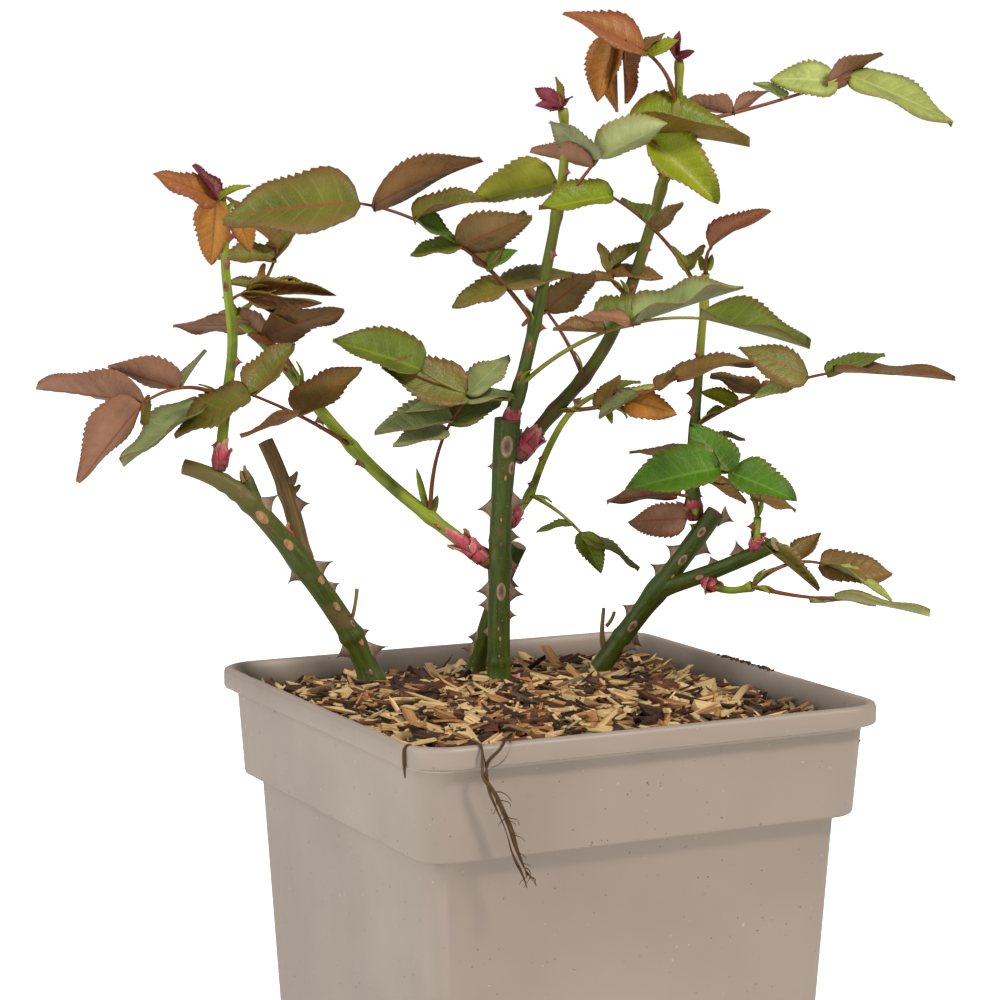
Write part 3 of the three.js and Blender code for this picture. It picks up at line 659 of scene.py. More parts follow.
def addThorn(batch, spec, at, heading, rise, size, slot):
    # a flattened hook on a long oval foot
    point, along, radius, out = onBark(spec, at, heading, rise, 0.7)
    shape, faces = tubeShape(10, 8)
    t = (shape[:, 2] / 8) ** 1.3
    spread = (1 - t) ** 1.8
    span = max(size - radius * 0.8, 1.2)
    long = min(0.3 + span * 0.8, 4.8)
    side = unit(np.cross(out, along))
    world = laidOut(point, (out, radius * 0.8 + span * t), (side, shape[:, 0] * (0.08 + 0.42 * long * spread)),
                    (np.cross(side, out), shape[:, 1] * (0.1 + long * spread) - 0.16 * span * t ** 2))
    batch.add(world, faces, slot, marks=alike(t))


def addScar(batch, spec, at, heading, size, slot):
    point, along, radius, out = onBark(spec, at, heading, 0, 1)
    bm = bmesh.new()
    bmesh.ops.create_uvsphere(bm, u_segments=18, v_segments=12, radius=1)
    points, faces = arraysOf(bm)
    flat = np.hypot(points[:, 0], points[:, 1])
    lift = points[:, 2] * 0.75 * (1 - 0.4 * np.exp(-(flat * 1.5) ** 4))
    across = points[:, 0] * size * 0.52
    world = laidOut(point, (out, radius - 0.22 - across ** 2 / (2 * radius) + lift), (np.cross(out, along), across),
                    (along, points[:, 1] * size))
    batch.add(world, faces, slot, marks=alike(flat))


caneWoods = {"bark": greenBark, "cut": cutWood, "thorn": thornWood, "tan": tanScar, "grey": greyScar,
             "leaning": leaningBark, "bud": budScale}
caneSlots = {name: i for i, name in enumerate(caneWoods)}


def addCane(batch, spec, seed, sides, bark="bark", levelFoot=False):
    addLimb(batch, spec, caneSlots[bark], sides=sides, step=1.2, levelFoot=levelFoot,
            relief=barkRelief(seed, spec["relief"], spec["swells"]), capSlot=caneSlots["cut"], marks=True)
    for thorn in spec["thorns"]:
        addThorn(batch, spec, *thorn, caneSlots["thorn"])
    for *scar, kind in spec["scars"]:
        addScar(batch, spec, *scar, caneSlots[kind])


def leafletShape(rows, columns):
    # a flat grid given thickness: x across from -1 to 1, y from root to tip, z under or top
    bm = bmesh.new()
    bmesh.ops.create_grid(bm, x_segments=columns, y_segments=rows, size=1)
    bmesh.ops.solidify(bm, geom=bm.faces[:], thickness=1)
    bmesh.ops.recalc_face_normals(bm, faces=bm.faces[:])
    points, faces = arraysOf(bm)
    points[:, 1] = (points[:, 1] + 1) / 2
    points[:, 2] = (points[:, 2] > points[:, 2].mean()).astype(float)
    return points, faces


scaleGrid, scaleFaces = leafletShape(14, 10)


def addFoot(batch, spec, slot, seed):
    # a brown neck, and papery bud scales with ragged tips wrapped round it
    random = np.random.default_rng(seed)
    length, radius = spec["foot"]
    out = direction(spec["heading"][0], spec["rise"][0])
    start = np.array(spec["from"]) - out * length * 0.12
    side = unit(np.cross(out, depthWay if abs(out[2]) > 0.7 else up))
    face = np.cross(side, out)

    def bulge(t):
        return radius * (0.62 + 0.3 * np.sin(np.pi * np.clip(t * 1.05 + 0.1, 0, 1))) * (1 - 0.35 * t ** 2)

    def wrapped(t, angle, reach):
        return laidOut(start, (out, t * length), (side, np.cos(angle) * reach), (face, np.sin(angle) * reach))

    shape, faces = tubeShape(16, 10)
    t = shape[:, 2] / 10
    world = wrapped(t, np.arctan2(shape[:, 1], shape[:, 0]), bulge(t))
    batch.add(world, faces, slot, marks=np.stack([t * 0.5, t, t], axis=1))
    u, v, top = scaleGrid.T
    for i in range(5):
        turn = i * 2.4 + random.uniform(-0.4, 0.4)
        low, tall = 0.05 + 0.09 * i, random.uniform(0.5, 0.8)
        ragged = 0.05 * np.sin(u * random.uniform(4, 7) + turn) * v + 0.035 * np.sin(u * 15 + turn * 3) * v ** 2
        t = low + tall * (v * (1 - 0.12 * u ** 2) + ragged)
        angle = turn + u * random.uniform(1.1, 1.5) * (1 - 0.45 * v ** 3)
        peel = random.uniform(0.1, 1) ** 1.5
        flare = 0.15 + 0.1 * i + peel * radius * v ** 3 + 0.2 * np.sin(u * 3 + turn) * v + top * 0.25
        world = wrapped(t, angle, bulge(np.clip(t, 0, 1)) + flare)
        ripe = np.clip(0.14 + 0.62 * v ** 1.3 + 0.24 * abs(u) ** 3 * v + 0.2 * (random.uniform() - 0.5), 0, 1)
        batch.add(world, scaleFaces, slot, marks=np.stack([ripe, v, u], axis=1))


def buildCanes():
    for i, (name, spec) in enumerate(canes.items()):
        batch = Batch()
        addCane(batch, spec, i * 13, 28, "leaning" if name == "cane_left" else "bark", levelFoot=True)
        for bud in dormantBuds.get(name, []):
            addFoot(batch, bud, caneSlots["bud"], i + 30)
        if name == "cane_right":
            addCane(batch, caneBranch, 71, 24)
        piece = batch.build("bark_" + name, list(caneWoods.values()), "green_cane")
        piece.data.set_sharp_from_angle(angle=math.radians(60))
        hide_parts(name)
    batch = Batch()
    addCane(batch, deadStub, 81, 22)
    for twig in deadTwigs:
        addLimb(batch, twig, caneSlots["leaning" if twig.get("green") else "bark"], sides=10, step=1.2,
                relief=barkRelief(3, 0.4), capSlot=caneSlots["cut"], marks=True)
    piece = batch.build("deadWood", list({**caneWoods, "bark": deadBark}.values()), "dead_wood")
    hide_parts("cane_left_stub")
    print("canes done")


buildCanes()
buildMulch(mulchSizes, list(canes.values()))


youngTints = ("russet", "copper", "orange", "magenta", "purple", "brown", "olive")
tints = {
    # blade, veins, margin, underside
    "green": ((94, 108, 28), (126, 138, 54), (108, 84, 36), (128, 134, 80)),
    "bright": ((74, 112, 20), (106, 142, 54), (94, 98, 34), (122, 144, 72)),
    "grey": ((132, 142, 84), (158, 166, 112), (126, 106, 64), (150, 154, 114)),
    "olive": ((102, 104, 32), (138, 132, 58), (122, 84, 44), (136, 106, 68)),
    "brown": ((122, 96, 38), (146, 118, 58), (116, 72, 46), (140, 102, 66)),
    "purple": ((148, 108, 76), (166, 120, 86), (130, 80, 60), (160, 118, 94)),
    "magenta": ((114, 40, 50), (156, 80, 84), (94, 30, 40), (138, 58, 72)),
    "copper": ((156, 96, 46), (178, 118, 62), (134, 64, 40), (162, 102, 58)),
    "russet": ((122, 70, 36), (142, 88, 46), (98, 46, 34), (132, 84, 50)),
    "orange": ((184, 122, 42), (200, 142, 72), (150, 88, 40), (182, 124, 62)),
    "lime": ((134, 144, 12), (164, 168, 60), (130, 112, 36), (148, 148, 46)),
    "duo": ((114, 130, 14), (150, 156, 54), (122, 96, 36), (140, 106, 48)),
    "pale": ((154, 166, 80), (182, 190, 118), (132, 116, 60), (170, 176, 116)),
    "fan": ((98, 58, 26), (124, 78, 38), (146, 138, 34), (110, 68, 40)),
}

longStipules = {"shoot_diagonal": {29: 20, 72: 15}, "shoot_left": {26: 13}}

# each leaf: where on the stem, headings and rises along its stalk, the stalk's length, and its leaflets;
# each leaflet: share of the stalk, heading, rise, length, twist, tint, how far it is folded shut and how slim
shoots = {
    "shoot_left": {
        "seed": 1, "bark": "green", "foot": (12, 3.3), "length": 110, "radius": [2.3, 2, 1.5],
        "from": [-110, 62, 325], "heading": [-19, 2, 81, 119, 108], "rise": [85, 82, 69, 88, 85],
        "leaves": [
            (26, [-150, -160], [32, -28], 49, [(1, -175, -45, 39, -60, "purple"),
                (0.97, 145, 10, 42, -30, "purple"), (0.95, 60, -35, 17, -105, "olive"),
                (0.6, 180, 20, 30, -35, "purple"), (0.55, 35, 50, 20, 35, "grey")]),
            (24, [-140, -180], [30, -15], 11, [(1, 175, -30, 40, 10, "grey")]),
            (102, [-130, -155], [70, 20], 7, [(1, -180, 28, 27, 45, "copper"), (0.95, 100, -75, 27, 130, "orange"),
                (0.9, 140, 60, 17, 5, "magenta"), (0.9, 0, 30, 15, -10, "lime")]),
            (100, [50, 35], [45, -30], 13, [(1, -10, -70, 17, -80, "orange")])
        ],
    },
    "shoot_diagonal": {
        "seed": 2, "bark": "green", "foot": (20, 3.4), "length": 144, "radius": [2.9, 2.6, 2.4, 1.7],
        "from": [-12, 22, 286.5], "heading": [150, 135, 134, 130, 134], "rise": [38, 35, 45, 48, 38],
        "leaves": [
            (72, [-160, -170], [30, 20], 57, [(1, 170, -25, 33, 30, "olive"), (0.95, 20, 45, 29, -15, "olive"),
                (0.55, 5, 35, 34, -20, "brown"), (0.55, -175, -14, 27, -24, "brown", 0)]),
            (29, [-110, -60], [80, 45], 55, [(1, 5, 10, 25, -15, "grey"), (1, 155, -5, 24, 30, "grey"),
                (0.8, 10, 25, 28, -35, "green"), (0.8, 165, -8, 31, 35, "grey", 0.6),
                (0.72, 175, -8, 23, 30, "grey")]),
            (104, [135, 125], [70, 20], 36, [(1, 170, 5, 31, -25, "purple"), (0.8, 135, 30, 20, -50, "purple"),
                (0.75, -35, 27, 35, 35, "brown"), (0.62, -160, 20, 14, 35, "russet")]),
            (144, [5, 30], [40, 65], 36, [(1, 125, 45, 36, 0, "brown"), (0.85, 175, 5, 24, 35, "olive"),
                (0.85, 15, 50, 25, 0, "olive"), (0.45, 180, 15, 15, 30, "olive"),
                (0.45, 60, 65, 12, 45, "orange")]),
            (144, [-180, -10], [60, 10], 20, [(1, -30, 1, 35, -65, "fan", 1.5, 0.55),
                (0.93, -20, 17, 21, -100, "fan", 1.5, 0.6), (0.97, -10, 10, 26, -40, "fan", 1.5, 0.55),
                (0.9, -40, -8, 32, -110, "fan", 1.5, 0.6), (0.85, -30, -27, 25, -60, "fan", 1.4, 0.6)])
        ],
    },
    "shoot_centre": {
        "seed": 3, "bark": "deep", "foot": (9, 3.4), "length": 126, "radius": [2.9, 2.4, 2.1, 1.6],
        "from": [-5, 16, 342.5], "heading": [-48, -59, -52, -148], "rise": [73, 76, 79, 75],
        "leaves": [
            (10, [-170, -195], [-3, 36], 44, [(1, 145, 21, 37, 40, "green"), (0.55, 170, 20, 34, 60, "olive", 0),
                (0.5, 20, 35, 27, -15, "grey")]),
            (40, [-195, -170], [58, 7], 92, [(1, 155, 0, 52, 50, "olive"), (0.93, -5, 30, 46, 35, "brown"),
                (0.72, -27, 25, 29, -32, "olive", 1.1), (0.72, -5, -25, 20, -40, "bright"),
                (0.48, -50, 25, 33, 45, "olive"), (0.48, 170, -5, 20, 35, "green"), (0.33, 30, 45, 34, 15, "brown"),
                (0.33, -60, 30, 15, -60, "bright"), (0.22, 165, -15, 22, 40, "olive"),
                (0.22, 0, 15, 32, -20, "olive")]),
            (84, [-70, -40], [52, 49], 29, [(1, -50, 28, 31, 50, "pale", 0.6), (0.95, 165, 45, 24, -35, "grey"),
                (0.85, 130, 15, 26, -30, "purple")]),
            (89, [25, 110], [75, 15], 12, [(1, 140, -10, 34, -50, "lime")]),
            (15, [-63, -65], [40, -2], 92, [(1, -40, -10, 42, -14, "green"), (0.68, -15, 22, 44, -8, "grey"),
                (0.66, 170, 15, 20, 25, "purple"), (0.48, 15, 20, 34, -30, "green"),
                (0.5, 165, 5, 20, 20, "brown")]),
            (124, [-150, -175], [84, 48], 4, [(1, 165, 32, 12, -65, "magenta", 0.5),
                (0.8, 150, 5, 10, -60, "magenta", 0.4), (0.9, 160, 80, 11, 30, "olive"),
                (0.7, -15, 50, 6, -15, "magenta"), (0.5, -175, -5, 6, 20, "magenta")])
        ],
    },
    "shoot_centre_right": {
        "seed": 14, "bark": "blush", "foot": (17, 4.5), "length": 179, "radius": [3, 2.6, 2.2, 1.6],
        "from": [-1, 17, 329], "heading": [1, -1, 2, 10, -25, 77], "rise": [48, 43, 65, 69, 80, 78],
        "leaves": [
            (159, [-160, -210], [80, 10], 42, [(1, 140, -75, 26, 75, "orange"), (0.97, 70, -75, 30, 100, "orange"),
                (0.92, 40, -65, 27, -90, "copper"), (0.66, 175, 25, 38, 45, "copper"),
                (0.7, 5, 35, 13, -10, "brown"), (0.62, -45, 30, 13, -60, "lime")]),
            (152, [0, -15], [10, 20], 82, [(1, -35, -20, 46, -28, "pale"), (0.92, 170, 5, 28, 60, "pale"),
                (0.85, -10, 35, 28, 40, "purple"), (0.62, 115, 30, 16, 5, "pale"),
                (0.32, 170, 15, 21, -30, "purple"), (0.34, 0, 35, 18, 45, "purple")]),
            (126, [0, -210, -215], [55, 55, 5], 35, [(1, -27, 3, 49, -21, "duo", 0.8),
                (0.72, -45, -40, 37, -50, "lime")]),
            (42, [150, 155], [70, 50], 34, [(1, 115, 50, 16, -5, "purple"), (0.92, -50, 40, 27, 40, "olive"),
                (0.88, 120, -20, 14, 30, "purple")]),
            (80, [190, 5], [50, 28], 19, [(1, -5, 40, 17, -20, "olive"), (0.9, -45, -5, 21, -25, "brown"),
                (0.8, 85, 55, 16, -20, "olive"), (0.5, 160, 5, 13, 30, "brown")]),
            (24, [-40, -60], [0, 33], 55, [(1, -15, 15, 33, -15, "brown"), (0.82, 0, 35, 21, -10, "brown"),
                (0.64, 170, -25, 18, 10, "grey"), (0.55, -50, -10, 21, -55, "orange"), (0.5, 5, 20, 21, -5, "pale"),
                (0.33, 15, 55, 17, 0, "brown"), (0.35, -75, -40, 9, 5, "lime")]),
            (176, [140, 140], [70, 88], 6, [(1, -80, 90, 9, -95, "magenta"), (0.8, -160, 60, 9, 80, "magenta"),
                (0.7, -55, 20, 8, -55, "magenta")])
        ],
    },
    "shoot_rear": {
        "seed": 5, "bark": "green", "foot": (9, 3.4), "length": 72, "radius": [1.7, 1.5, 1.1],
        "from": [-2, 24, 301.5], "heading": [21, 21, 13, 8], "rise": [24, 62, 51, 15],
        "leaves": [
            (17, [-56, -69], [-20, -40], 31, [(1, -10, -25, 27, -15, "green"), (0.95, -75, -50, 18, -20, "green"),
                (0.75, 165, -5, 15, 10, "green")]),
            (76, [-45, -5], [0, 0], 6, [(1, -10, -15, 22, -15, "green"), (0.6, 5, 20, 18, -5, "green"),
                (0.6, -45, -40, 13, -10, "olive")])
        ],
    },
    "shoot_right": {
        "seed": 6, "bark": "deep", "foot": (12, 3.8), "length": 98, "radius": [2.2, 1.9, 1.4],
        "from": [65.5, -8.5, 304], "heading": [-152, -92, -57, -123], "rise": [79, 84, 86, 77],
        "leaves": [
            (100, [-134, -73], [87, 46], 12, [(1, -50, 38, 27, -45, "russet", 0.8)]),
            (37, [-37, -69], [33, 10], 64, [(1, -35, 1, 46, -2, "brown", 0), (0.95, -10, 20, 25, -15, "green"),
                (0.8, 160, 28, 29, 50, "olive"), (0.7, 170, -15, 17, 20, "pale"), (0.45, 125, 25, 22, 20, "brown"),
                (0.5, 10, 5, 16, -20, "orange"), (0.3, 155, 20, 15, 40, "lime"), (0.2, -175, -5, 8, 15, "green")]),
            (86, [-185, -180], [64, 27], 60, [(1, 165, -8, 29, 38, "duo"), (0.62, 115, 40, 20, 5, "green"),
                (0.6, -50, 50, 16, 30, "olive"), (0.25, 0, 55, 13, -10, "olive"),
                (0.25, -175, 55, 13, 55, "green")]),
            (27, [72, 120], [10, 15], 4, [(1, 140, 0, 24, 5, "brown")]),
            (32, [11, 6], [-18, 19], 9, [(1, -20, 5, 14, -15, "brown")]),
            (9, [-158, -222], [-10, 17], 8, [(1, 160, 0, 28, -35, "purple"), (0.8, 115, 10, 17, 15, "purple")]),
            (6, [-135, -170], [-50, -35], 9, [(1, 165, -2, 24, -75, "purple", 0)]),
            (10, [-74, -77], [54, 4], 11, [(1, -45, -25, 17, -15, "brown"), (0.7, -10, -10, 16, -15, "olive")])
        ],
    },
    "shoot_branch_upper": {
        "seed": 7, "bark": "green", "foot": (7, 2.9), "length": 13, "radius": [1.6, 1.2],
        "from": [77, -36.5, 293.5], "heading": [-96, -126], "rise": [73, 79],
        "leaves": [
            (13, [-179, -176], [85, 9], 30, [(1, 165, -5, 37, 45, "bright"), (0.8, 115, 45, 26, 35, "bright"),
                (0.75, -55, -15, 28, -40, "bright"), (0.3, -25, -10, 18, -20, "brown")]),
            (1, [-60, -60], [10, -20], 4, [(1, -50, -32, 27, -35, "olive", 1.2, 0.6)])
        ],
    },
    "shoot_branch_lower": {
        "seed": 8, "bark": "green", "foot": (8, 3.2), "length": 24, "radius": [1.8, 1.3],
        "from": [67, -16, 279], "heading": [-85, -55], "rise": [-26, 25],
        "leaves": [
            (24, [-10, 7], [42, -20], 36, [(1, -45, -20, 30, -5, "pale"), (0.95, -20, -5, 30, -40, "brown"),
                (0.6, 15, 40, 18, -10, "brown"), (0.5, 115, 45, 17, -5, "brown")]),
            (24, [-67, -73], [-8, 6], 41, [(1, -35, -2, 36, 5, "pale", 0, 0.8),
                (0.7, -12, 4, 27, 3, "grey", 0, 0.8)])
        ],
    },
}


leafGrid, leafFaces = leafletShape(leafletSizes["rows"], leafletSizes["columns"])
underFaces = [int(leafGrid[face, 2].mean() < 0.4) for face in leafFaces]


def leafOutline(v):
    return np.where((v > 0) & (v < 1), 2.37 * np.clip(v, 1e-6, 1) ** 0.46 * np.clip(1 - v, 1e-6, 1) ** 0.88, 0)


def addLeaflet(batch, base, along, normal, size, fold, curl, wave, slim, slots):
    side = unit(np.cross(along, normal))
    face = np.cross(side, along)
    u, v0, top = leafGrid.T
    rows, veins = leafletSizes["rows"], leafletSizes["veins"]
    row = np.round(v0 * rows).astype(int)
    edge = (abs(u) > 0.99) & (row > 1) & (row < rows - 1)
    v = v0 + 0.8 * abs(u) * v0 * (1 - v0)                       # rows slant forward, as side veins do
    period = 2 if size > 38 else 3 if size > 22 else 4
    phase = (row + (np.sign(u) > 0)) % period / (period - 1)
    deep = min(1.15, 0.3 + 0.026 * size) * (1 + 0.35 * np.sin(row * 12.9 + size + np.sign(u)))
    tooth = np.where(edge, (phase - 0.55) * deep * np.sin(np.pi * np.clip(v, 0.08, 0.92)), 0)
    v = np.where(edge, np.clip(v + (0.9 * phase - 0.3) / rows, 0, 0.995), v)
    half = size * leafletSizes["width"] * leafOutline(v) + tooth
    quilt = -np.cos(2 * np.pi * v0 * veins) * abs(u) * (1 - abs(u)) * 4 * np.sin(np.pi * v0)
    rib = np.clip(1 - abs(u) * 3, 0, 1)
    across = u * half * slim / math.hypot(1, fold)
    height = (abs(across) * fold - curl * size * v ** 2 + wave[3] * size * quilt
              - 0.012 * size * rib * np.sin(np.pi * v0) - 0.05 * size * abs(u) ** 3 * np.sign(wave[2] - 1)
              + wave[0] * size * u ** 2 * np.sin(v * wave[1] + np.sign(u) * wave[2] * 3)
              + (top - 0.5) * leafletSizes["thick"])
    world = laidOut(base, (along, v * (size + 0.7) - 0.7), (side, across), (face, height))
    grain = np.stack([across, v * size, top], axis=1) + base * 2.3
    batch.add(world, leafFaces, [slots[under] for under in underFaces], grain, np.stack([u, v0, top], axis=1))


stalkWoods = {"green": youngBark, "blush": blushBark, "redStalk": redStalk, "greenStalk": greenStalk,
              "bud": budScale, "prickle": redThorn, "deep": deepBark}
stalkSlots = {name: i for i, name in enumerate(stalkWoods)}
prickles = {"spacing": 12, "size": 3.6}


def addCompoundLeaf(leaves, stalks, stalk, leaflets, draw, finer, tintNames):
    reddish = leaflets[0][5] not in ("bright", "green")
    addLimb(stalks, stalk, stalkSlots["redStalk" if reddish else "greenStalk"], sides=7, step=2.5)
    stations = route(stalk, 24)
    for share, heading, rise, size, twist, tint, *pressed in leaflets:
        along = direction(heading + (draw() - 0.5) * 4, rise + (draw() - 0.5) * 4)
        fold = pressed[0] + 0.05 * draw() if pressed else 0.15 + 0.3 * draw()
        curl = 0.05 + 0.1 * draw()
        wave = (0.015 + 0.03 * finer(), 7 + 5 * finer(), 2 * finer(), 0.003 + 0.005 * finer())
        fold += (0.05 if pressed else 0.4) * (finer() - 0.4)
        slim = pressed[1] if len(pressed) > 1 else 1
        kind = tintNames.index(tint) * 2
        addLeaflet(leaves, stationAt(stations, share)[0], along, twisted(along, twist), size, fold, curl, wave, slim,
                   (kind, kind + 1))


def twisted(along, twist):
    level = unit(np.cross(along, up))
    return np.cross(level, along) * math.cos(math.radians(twist)) - level * math.sin(math.radians(twist))


def addPrickles(batch, spec, spacing, size, slot, seed):
    random = np.random.default_rng(seed)
    at = random.uniform(0.4, 1) * spacing
    while at < spec["length"] * 0.92:
        heading = random.uniform(-180, 180)
        reach = float(mix(spec["radius"], at / spec["length"])) + size * random.uniform(0.5, 1)
        addThorn(batch, spec, at, heading, 10, reach, slot)
        at += spacing * random.uniform(0.6, 1.5)


def addStipules(batch, stalk, length, slot):
    # a pair of narrow wings along the foot of the leaf's stalk
    along = direction(stalk["heading"][0], stalk["rise"][0])
    outward = twisted(along, 0)
    side = np.cross(along, outward)
    shape, faces = tubeShape(6, 5)
    t = shape[:, 2] / 5
    taper = np.sin(np.pi * (0.2 + 0.8 * t)) ** 0.7
    for way, reach in ((1, length), (-1, min(length, 8))):
        lean = unit(along + side * way * 0.25)
        world = laidOut(stalk["from"] + along * 1.5 + side * way, (lean, t * reach),
                        (unit(np.cross(lean, outward)), shape[:, 0] * 1.7 * taper),
                        (outward, shape[:, 1] * 0.35 + reach * 0.12 * np.sin(np.pi * t)))
        batch.add(world, faces, slot)


def buildShoots():
    tintNames = list(tints)
    leafMaterials = []
    for name in tintNames:
        blade, veins, margin, under = (tone(*c) for c in tints[name])
        rib = tone(142, 72, 46) if name in ("olive", "brown", "purple", "copper", "orange") else veins
        reach = 0.3 if name in youngTints else 0.72
        leafMaterials += [leafMaterial(name + "Blade", blade, veins, rib, margin, 0.44, reach, 0.36),
                          leafMaterial(name + "Under", under, veins, rib, margin, 0.6, 0.6, 0.2)]
    for name, spec in shoots.items():
        leaves, stalks = Batch(), Batch()
        stem = route(spec, 24)
        joints = [(leaf[0], 0.5, 3) for leaf in spec["leaves"]]
        addLimb(stalks, spec, stalkSlots[spec["bark"]], sides=14, step=1.6,
                relief=barkRelief(spec["seed"], 0.12, joints), marks=True)
        addFoot(stalks, spec, stalkSlots["bud"], spec["seed"])
        addPrickles(stalks, spec, slot=stalkSlots["prickle"], seed=spec["seed"], **prickles)
        draw, finer = seeded(spec["seed"]), seeded(spec["seed"] + 50)
        for at, heading, rise, reach, leaflets in spec["leaves"]:
            stalk = {"from": stationAt(stem, min(at / spec["length"], 1))[0], "heading": heading, "rise": rise,
                     "length": reach, "radius": [1.05, 0.75, 0.55]}
            addCompoundLeaf(leaves, stalks, stalk, leaflets, draw, finer, tintNames)
            if reach > 8:
                usual = min(10, reach * 0.3 + 3)
                addStipules(stalks, stalk, longStipules.get(name, {}).get(at, usual), stalkSlots["green"])
        for piece in (leaves.build("leaves_" + name, leafMaterials, "foliage"),
                      stalks.build("stems_" + name, list(stalkWoods.values()), "foliage")):
            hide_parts(name)
    print("shoots done")


buildShoots()


looseRoot = {
    "strands": [
        {"from": [-77, -89, 231], "heading": [-80, -75, -90, -120, 5, 0, 0, 0, 0, 0],
         "rise": [55, 65, -20, -115, -45, -65, -65, -75, -65, -65], "length": 70,
         "radius": [0.3, 0.35, 0.4, 0.5, 0.7, 0.75, 0.75, 0.85, 0.7, 0.35]},
        {"from": [-62, -89, 231], "heading": [-105, -110, -100, -140, -175, -205, -380, -360, -360],
         "rise": [55, 65, 30, -35, -30, -90, -55, -55, -80], "length": 48,
         "radius": [0.4, 0.4, 0.45, 0.5, 0.55, 0.6, 0.6, 0.5, 0.3]},
        {"from": [-73, -89, 231], "heading": [-95, -100, -100, 30, 0, 0, 0, 0, 0],
         "rise": [55, 65, -70, -85, -65, -65, -75, -60, -75], "length": 73,
         "radius": [0.25, 0.3, 0.3, 0.3, 0.35, 0.4, 0.45, 0.4, 0.15]},
        {"from": [-63, -98, 240.2], "heading": [-80, -135, -180, -180, -180, -180],
         "rise": [15, -45, -65, -35, -15, -40], "length": 17, "radius": [0.16, 0.18, 0.16]},
        {"from": [-95, -86.5, 235.2], "heading": [200, 200, 200, 200, 300, 330, 330],
         "rise": [85, 80, 0, -85, -88, -85, -88], "length": 19, "radius": [0.4, 0.5, 0.55, 0.6, 0.5, 0.25]},
    ],
    "hairs": 22, "seed": 4,
}


def buildRoot(spec):
    random = np.random.default_rng(spec["seed"])
    batch = Batch()
    for i, strand in enumerate(spec["strands"]):
        addLimb(batch, strand, 0, sides=7, step=1, relief=barkRelief(5 + i, 0.5))
    stations = route(spec["strands"][0], 40)
    for _ in range(spec["hairs"]):
        point = stationAt(stations, random.uniform(0.25, 1) ** 0.7)[0]
        heading = random.uniform(-170, -10)
        swing = random.uniform(-220, 220)
        hair = {"from": point, "heading": [heading, heading + swing * 0.4, heading + swing],
                "rise": [random.uniform(-60, 30), random.uniform(-70, 10), random.uniform(-88, -40)],
                "length": random.uniform(2.5, 9), "radius": [0.24, 0.16, 0.1]}
        addLimb(batch, hair, 0, sides=4, step=1.2)
    batch.build("looseRoot", [rootBark], "dead_wood")
    print("root done")


buildRoot(looseRoot)


crumbs = {"from": (98, 24), "to": (98, -18), "count": 80, "seed": 8}
crumbMix = barkMaterial("crumbMix", (104, 82, 60), (58, 44, 32), 0.95, 600, 600, 0.8)


def buildCrumbs(c):
    # soil left lying on the pot's rim
    random = np.random.default_rng(c["seed"])
    batch = Batch()
    for _ in range(c["count"]):
        bm = bmesh.new()
        bmesh.ops.create_icosphere(bm, subdivisions=1, radius=random.uniform(0.3, 0.95))
        points, faces = arraysOf(bm)
        points = points * random.uniform(0.6, 1.5, 3) * (1, 1, 0.6) + random.normal(0, 0.1, points.shape)
        share = random.uniform()
        at = np.array([mix([c["from"][k], c["to"][k]], share) for k in (0, 1)]) + random.normal(0, (0.6, 1.5), 2)
        batch.add(points + (at[0], at[1], 240 + random.uniform(-0.1, 0.4)), faces, 0)
    batch.build("rimCrumbs", [crumbMix], "bark_mulch")
    print("crumbs done")


buildCrumbs(crumbs)


studio = {
    "cameraFrom": (-0.49531, -0.9487, 0.43595), "right": (0.89315894, -0.44973983, 0.0010928),
    "upward": (0.05041318, 0.10253177, 0.99345143), "forward": (0.44690672, 0.88725494, -0.11424998),
    "lens": 98.73, "ambient": 0.32, "backdrop": 1.05, "floorGlow": (0.08, 1.0),
    "key": {"at": (0.6, -1.3, 1.7), "size": 0.4, "power": 27, "colour": (1, 0.95, 0.88)},
    "fill": {"at": (-1.7, -0.3, 1.0), "size": 1.5, "power": 20, "colour": (0.94, 0.97, 1)},
}


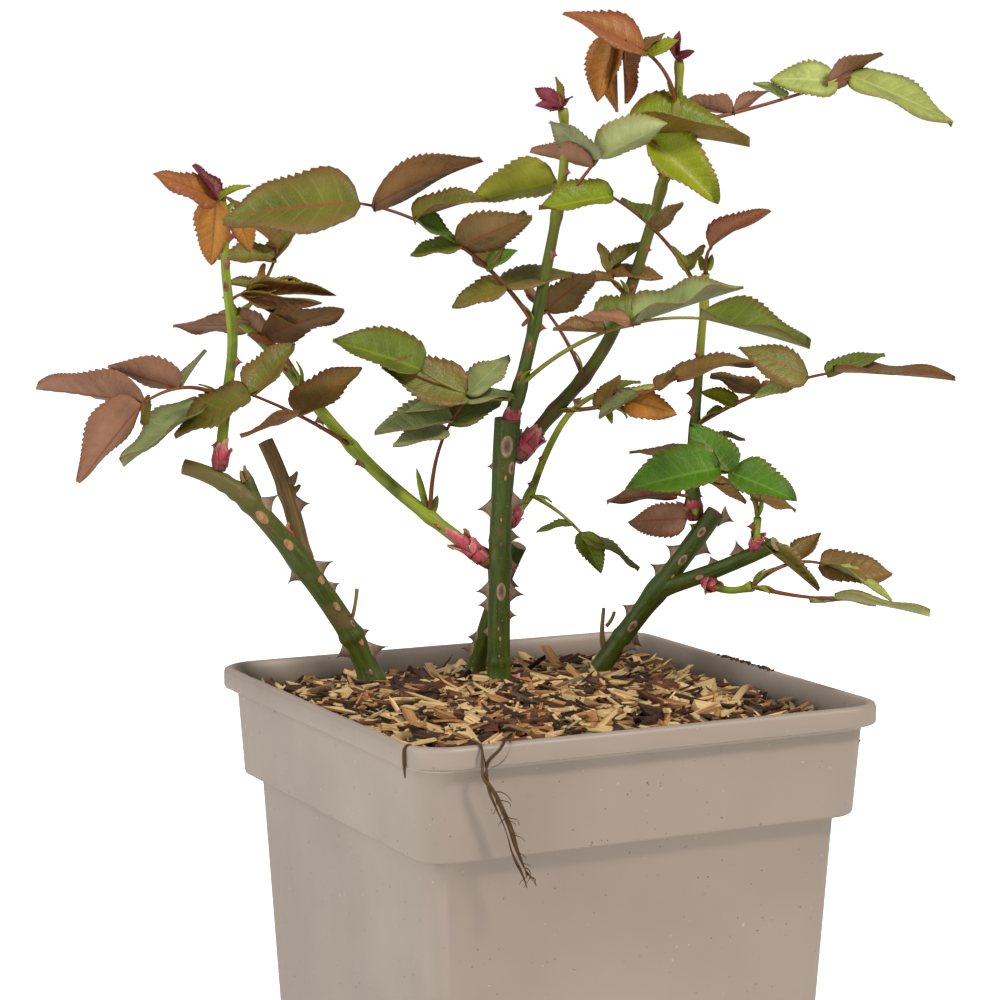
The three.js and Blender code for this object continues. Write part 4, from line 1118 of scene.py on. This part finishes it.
def areaLight(name, at, size, power, colour):
    light = bpy.data.lights.new(name, "AREA")
    light.shape, light.size, light.energy, light.color = "DISK", size, power, colour
    holder = bpy.data.objects.new(name, light)
    holder.location = at
    holder.rotation_euler = (Vector((0, 0, 0.3)) - Vector(at)).to_track_quat("-Z", "Y").to_euler()
    bpy.context.scene.collection.objects.link(holder)


def buildStudio(s):
    floorMaterial, tree, shader = nodesOf("paleFloor")
    shader.inputs["Base Color"].default_value = (0.93, 0.93, 0.93, 1)
    shader.inputs["Roughness"].default_value = 0.9
    shader.inputs["Emission Color"].default_value = (1, 1, 1, 1)
    seen = place(tree, "ShaderNodeLightPath")
    glow = ranged(tree, seen.outputs["Is Camera Ray"], 0, 1, *s["floorGlow"])
    tree.links.new(glow, shader.inputs["Emission Strength"])
    bm = bmesh.new()
    bmesh.ops.create_circle(bm, cap_ends=True, segments=64, radius=6)
    mesh = bpy.data.meshes.new("floor")
    bm.to_mesh(mesh)
    bm.free()
    mesh.materials.append(floorMaterial)
    floor = bpy.data.objects.new("floor", mesh)
    bpy.context.scene.collection.objects.link(floor)
    world = bpy.data.worlds.new("studioWorld")
    world.use_nodes = True
    ambient = world.node_tree.nodes["Background"]
    ambient.inputs["Color"].default_value = (1, 1, 1, 1)
    seen = place(world.node_tree, "ShaderNodeLightPath")
    level = ranged(world.node_tree, seen.outputs["Is Camera Ray"], 0, 1, s["ambient"], s["backdrop"])
    world.node_tree.links.new(level, ambient.inputs["Strength"])
    bpy.context.scene.world = world
    areaLight("keyLight", **s["key"])
    areaLight("fillLight", **s["fill"])
    camera = bpy.data.cameras.new("camera")
    camera.lens, camera.sensor_width = s["lens"], 36
    holder = bpy.data.objects.new("camera", camera)
    axes = Matrix((s["right"], s["upward"], tuple(-c for c in s["forward"]))).transposed()
    holder.matrix_world = Matrix.Translation(s["cameraFrom"]) @ axes.to_4x4()
    bpy.context.scene.collection.objects.link(holder)
    bpy.context.scene.camera = holder
    bpy.context.scene.view_settings.view_transform = "Standard"
    print("studio done")


buildStudio(studio)
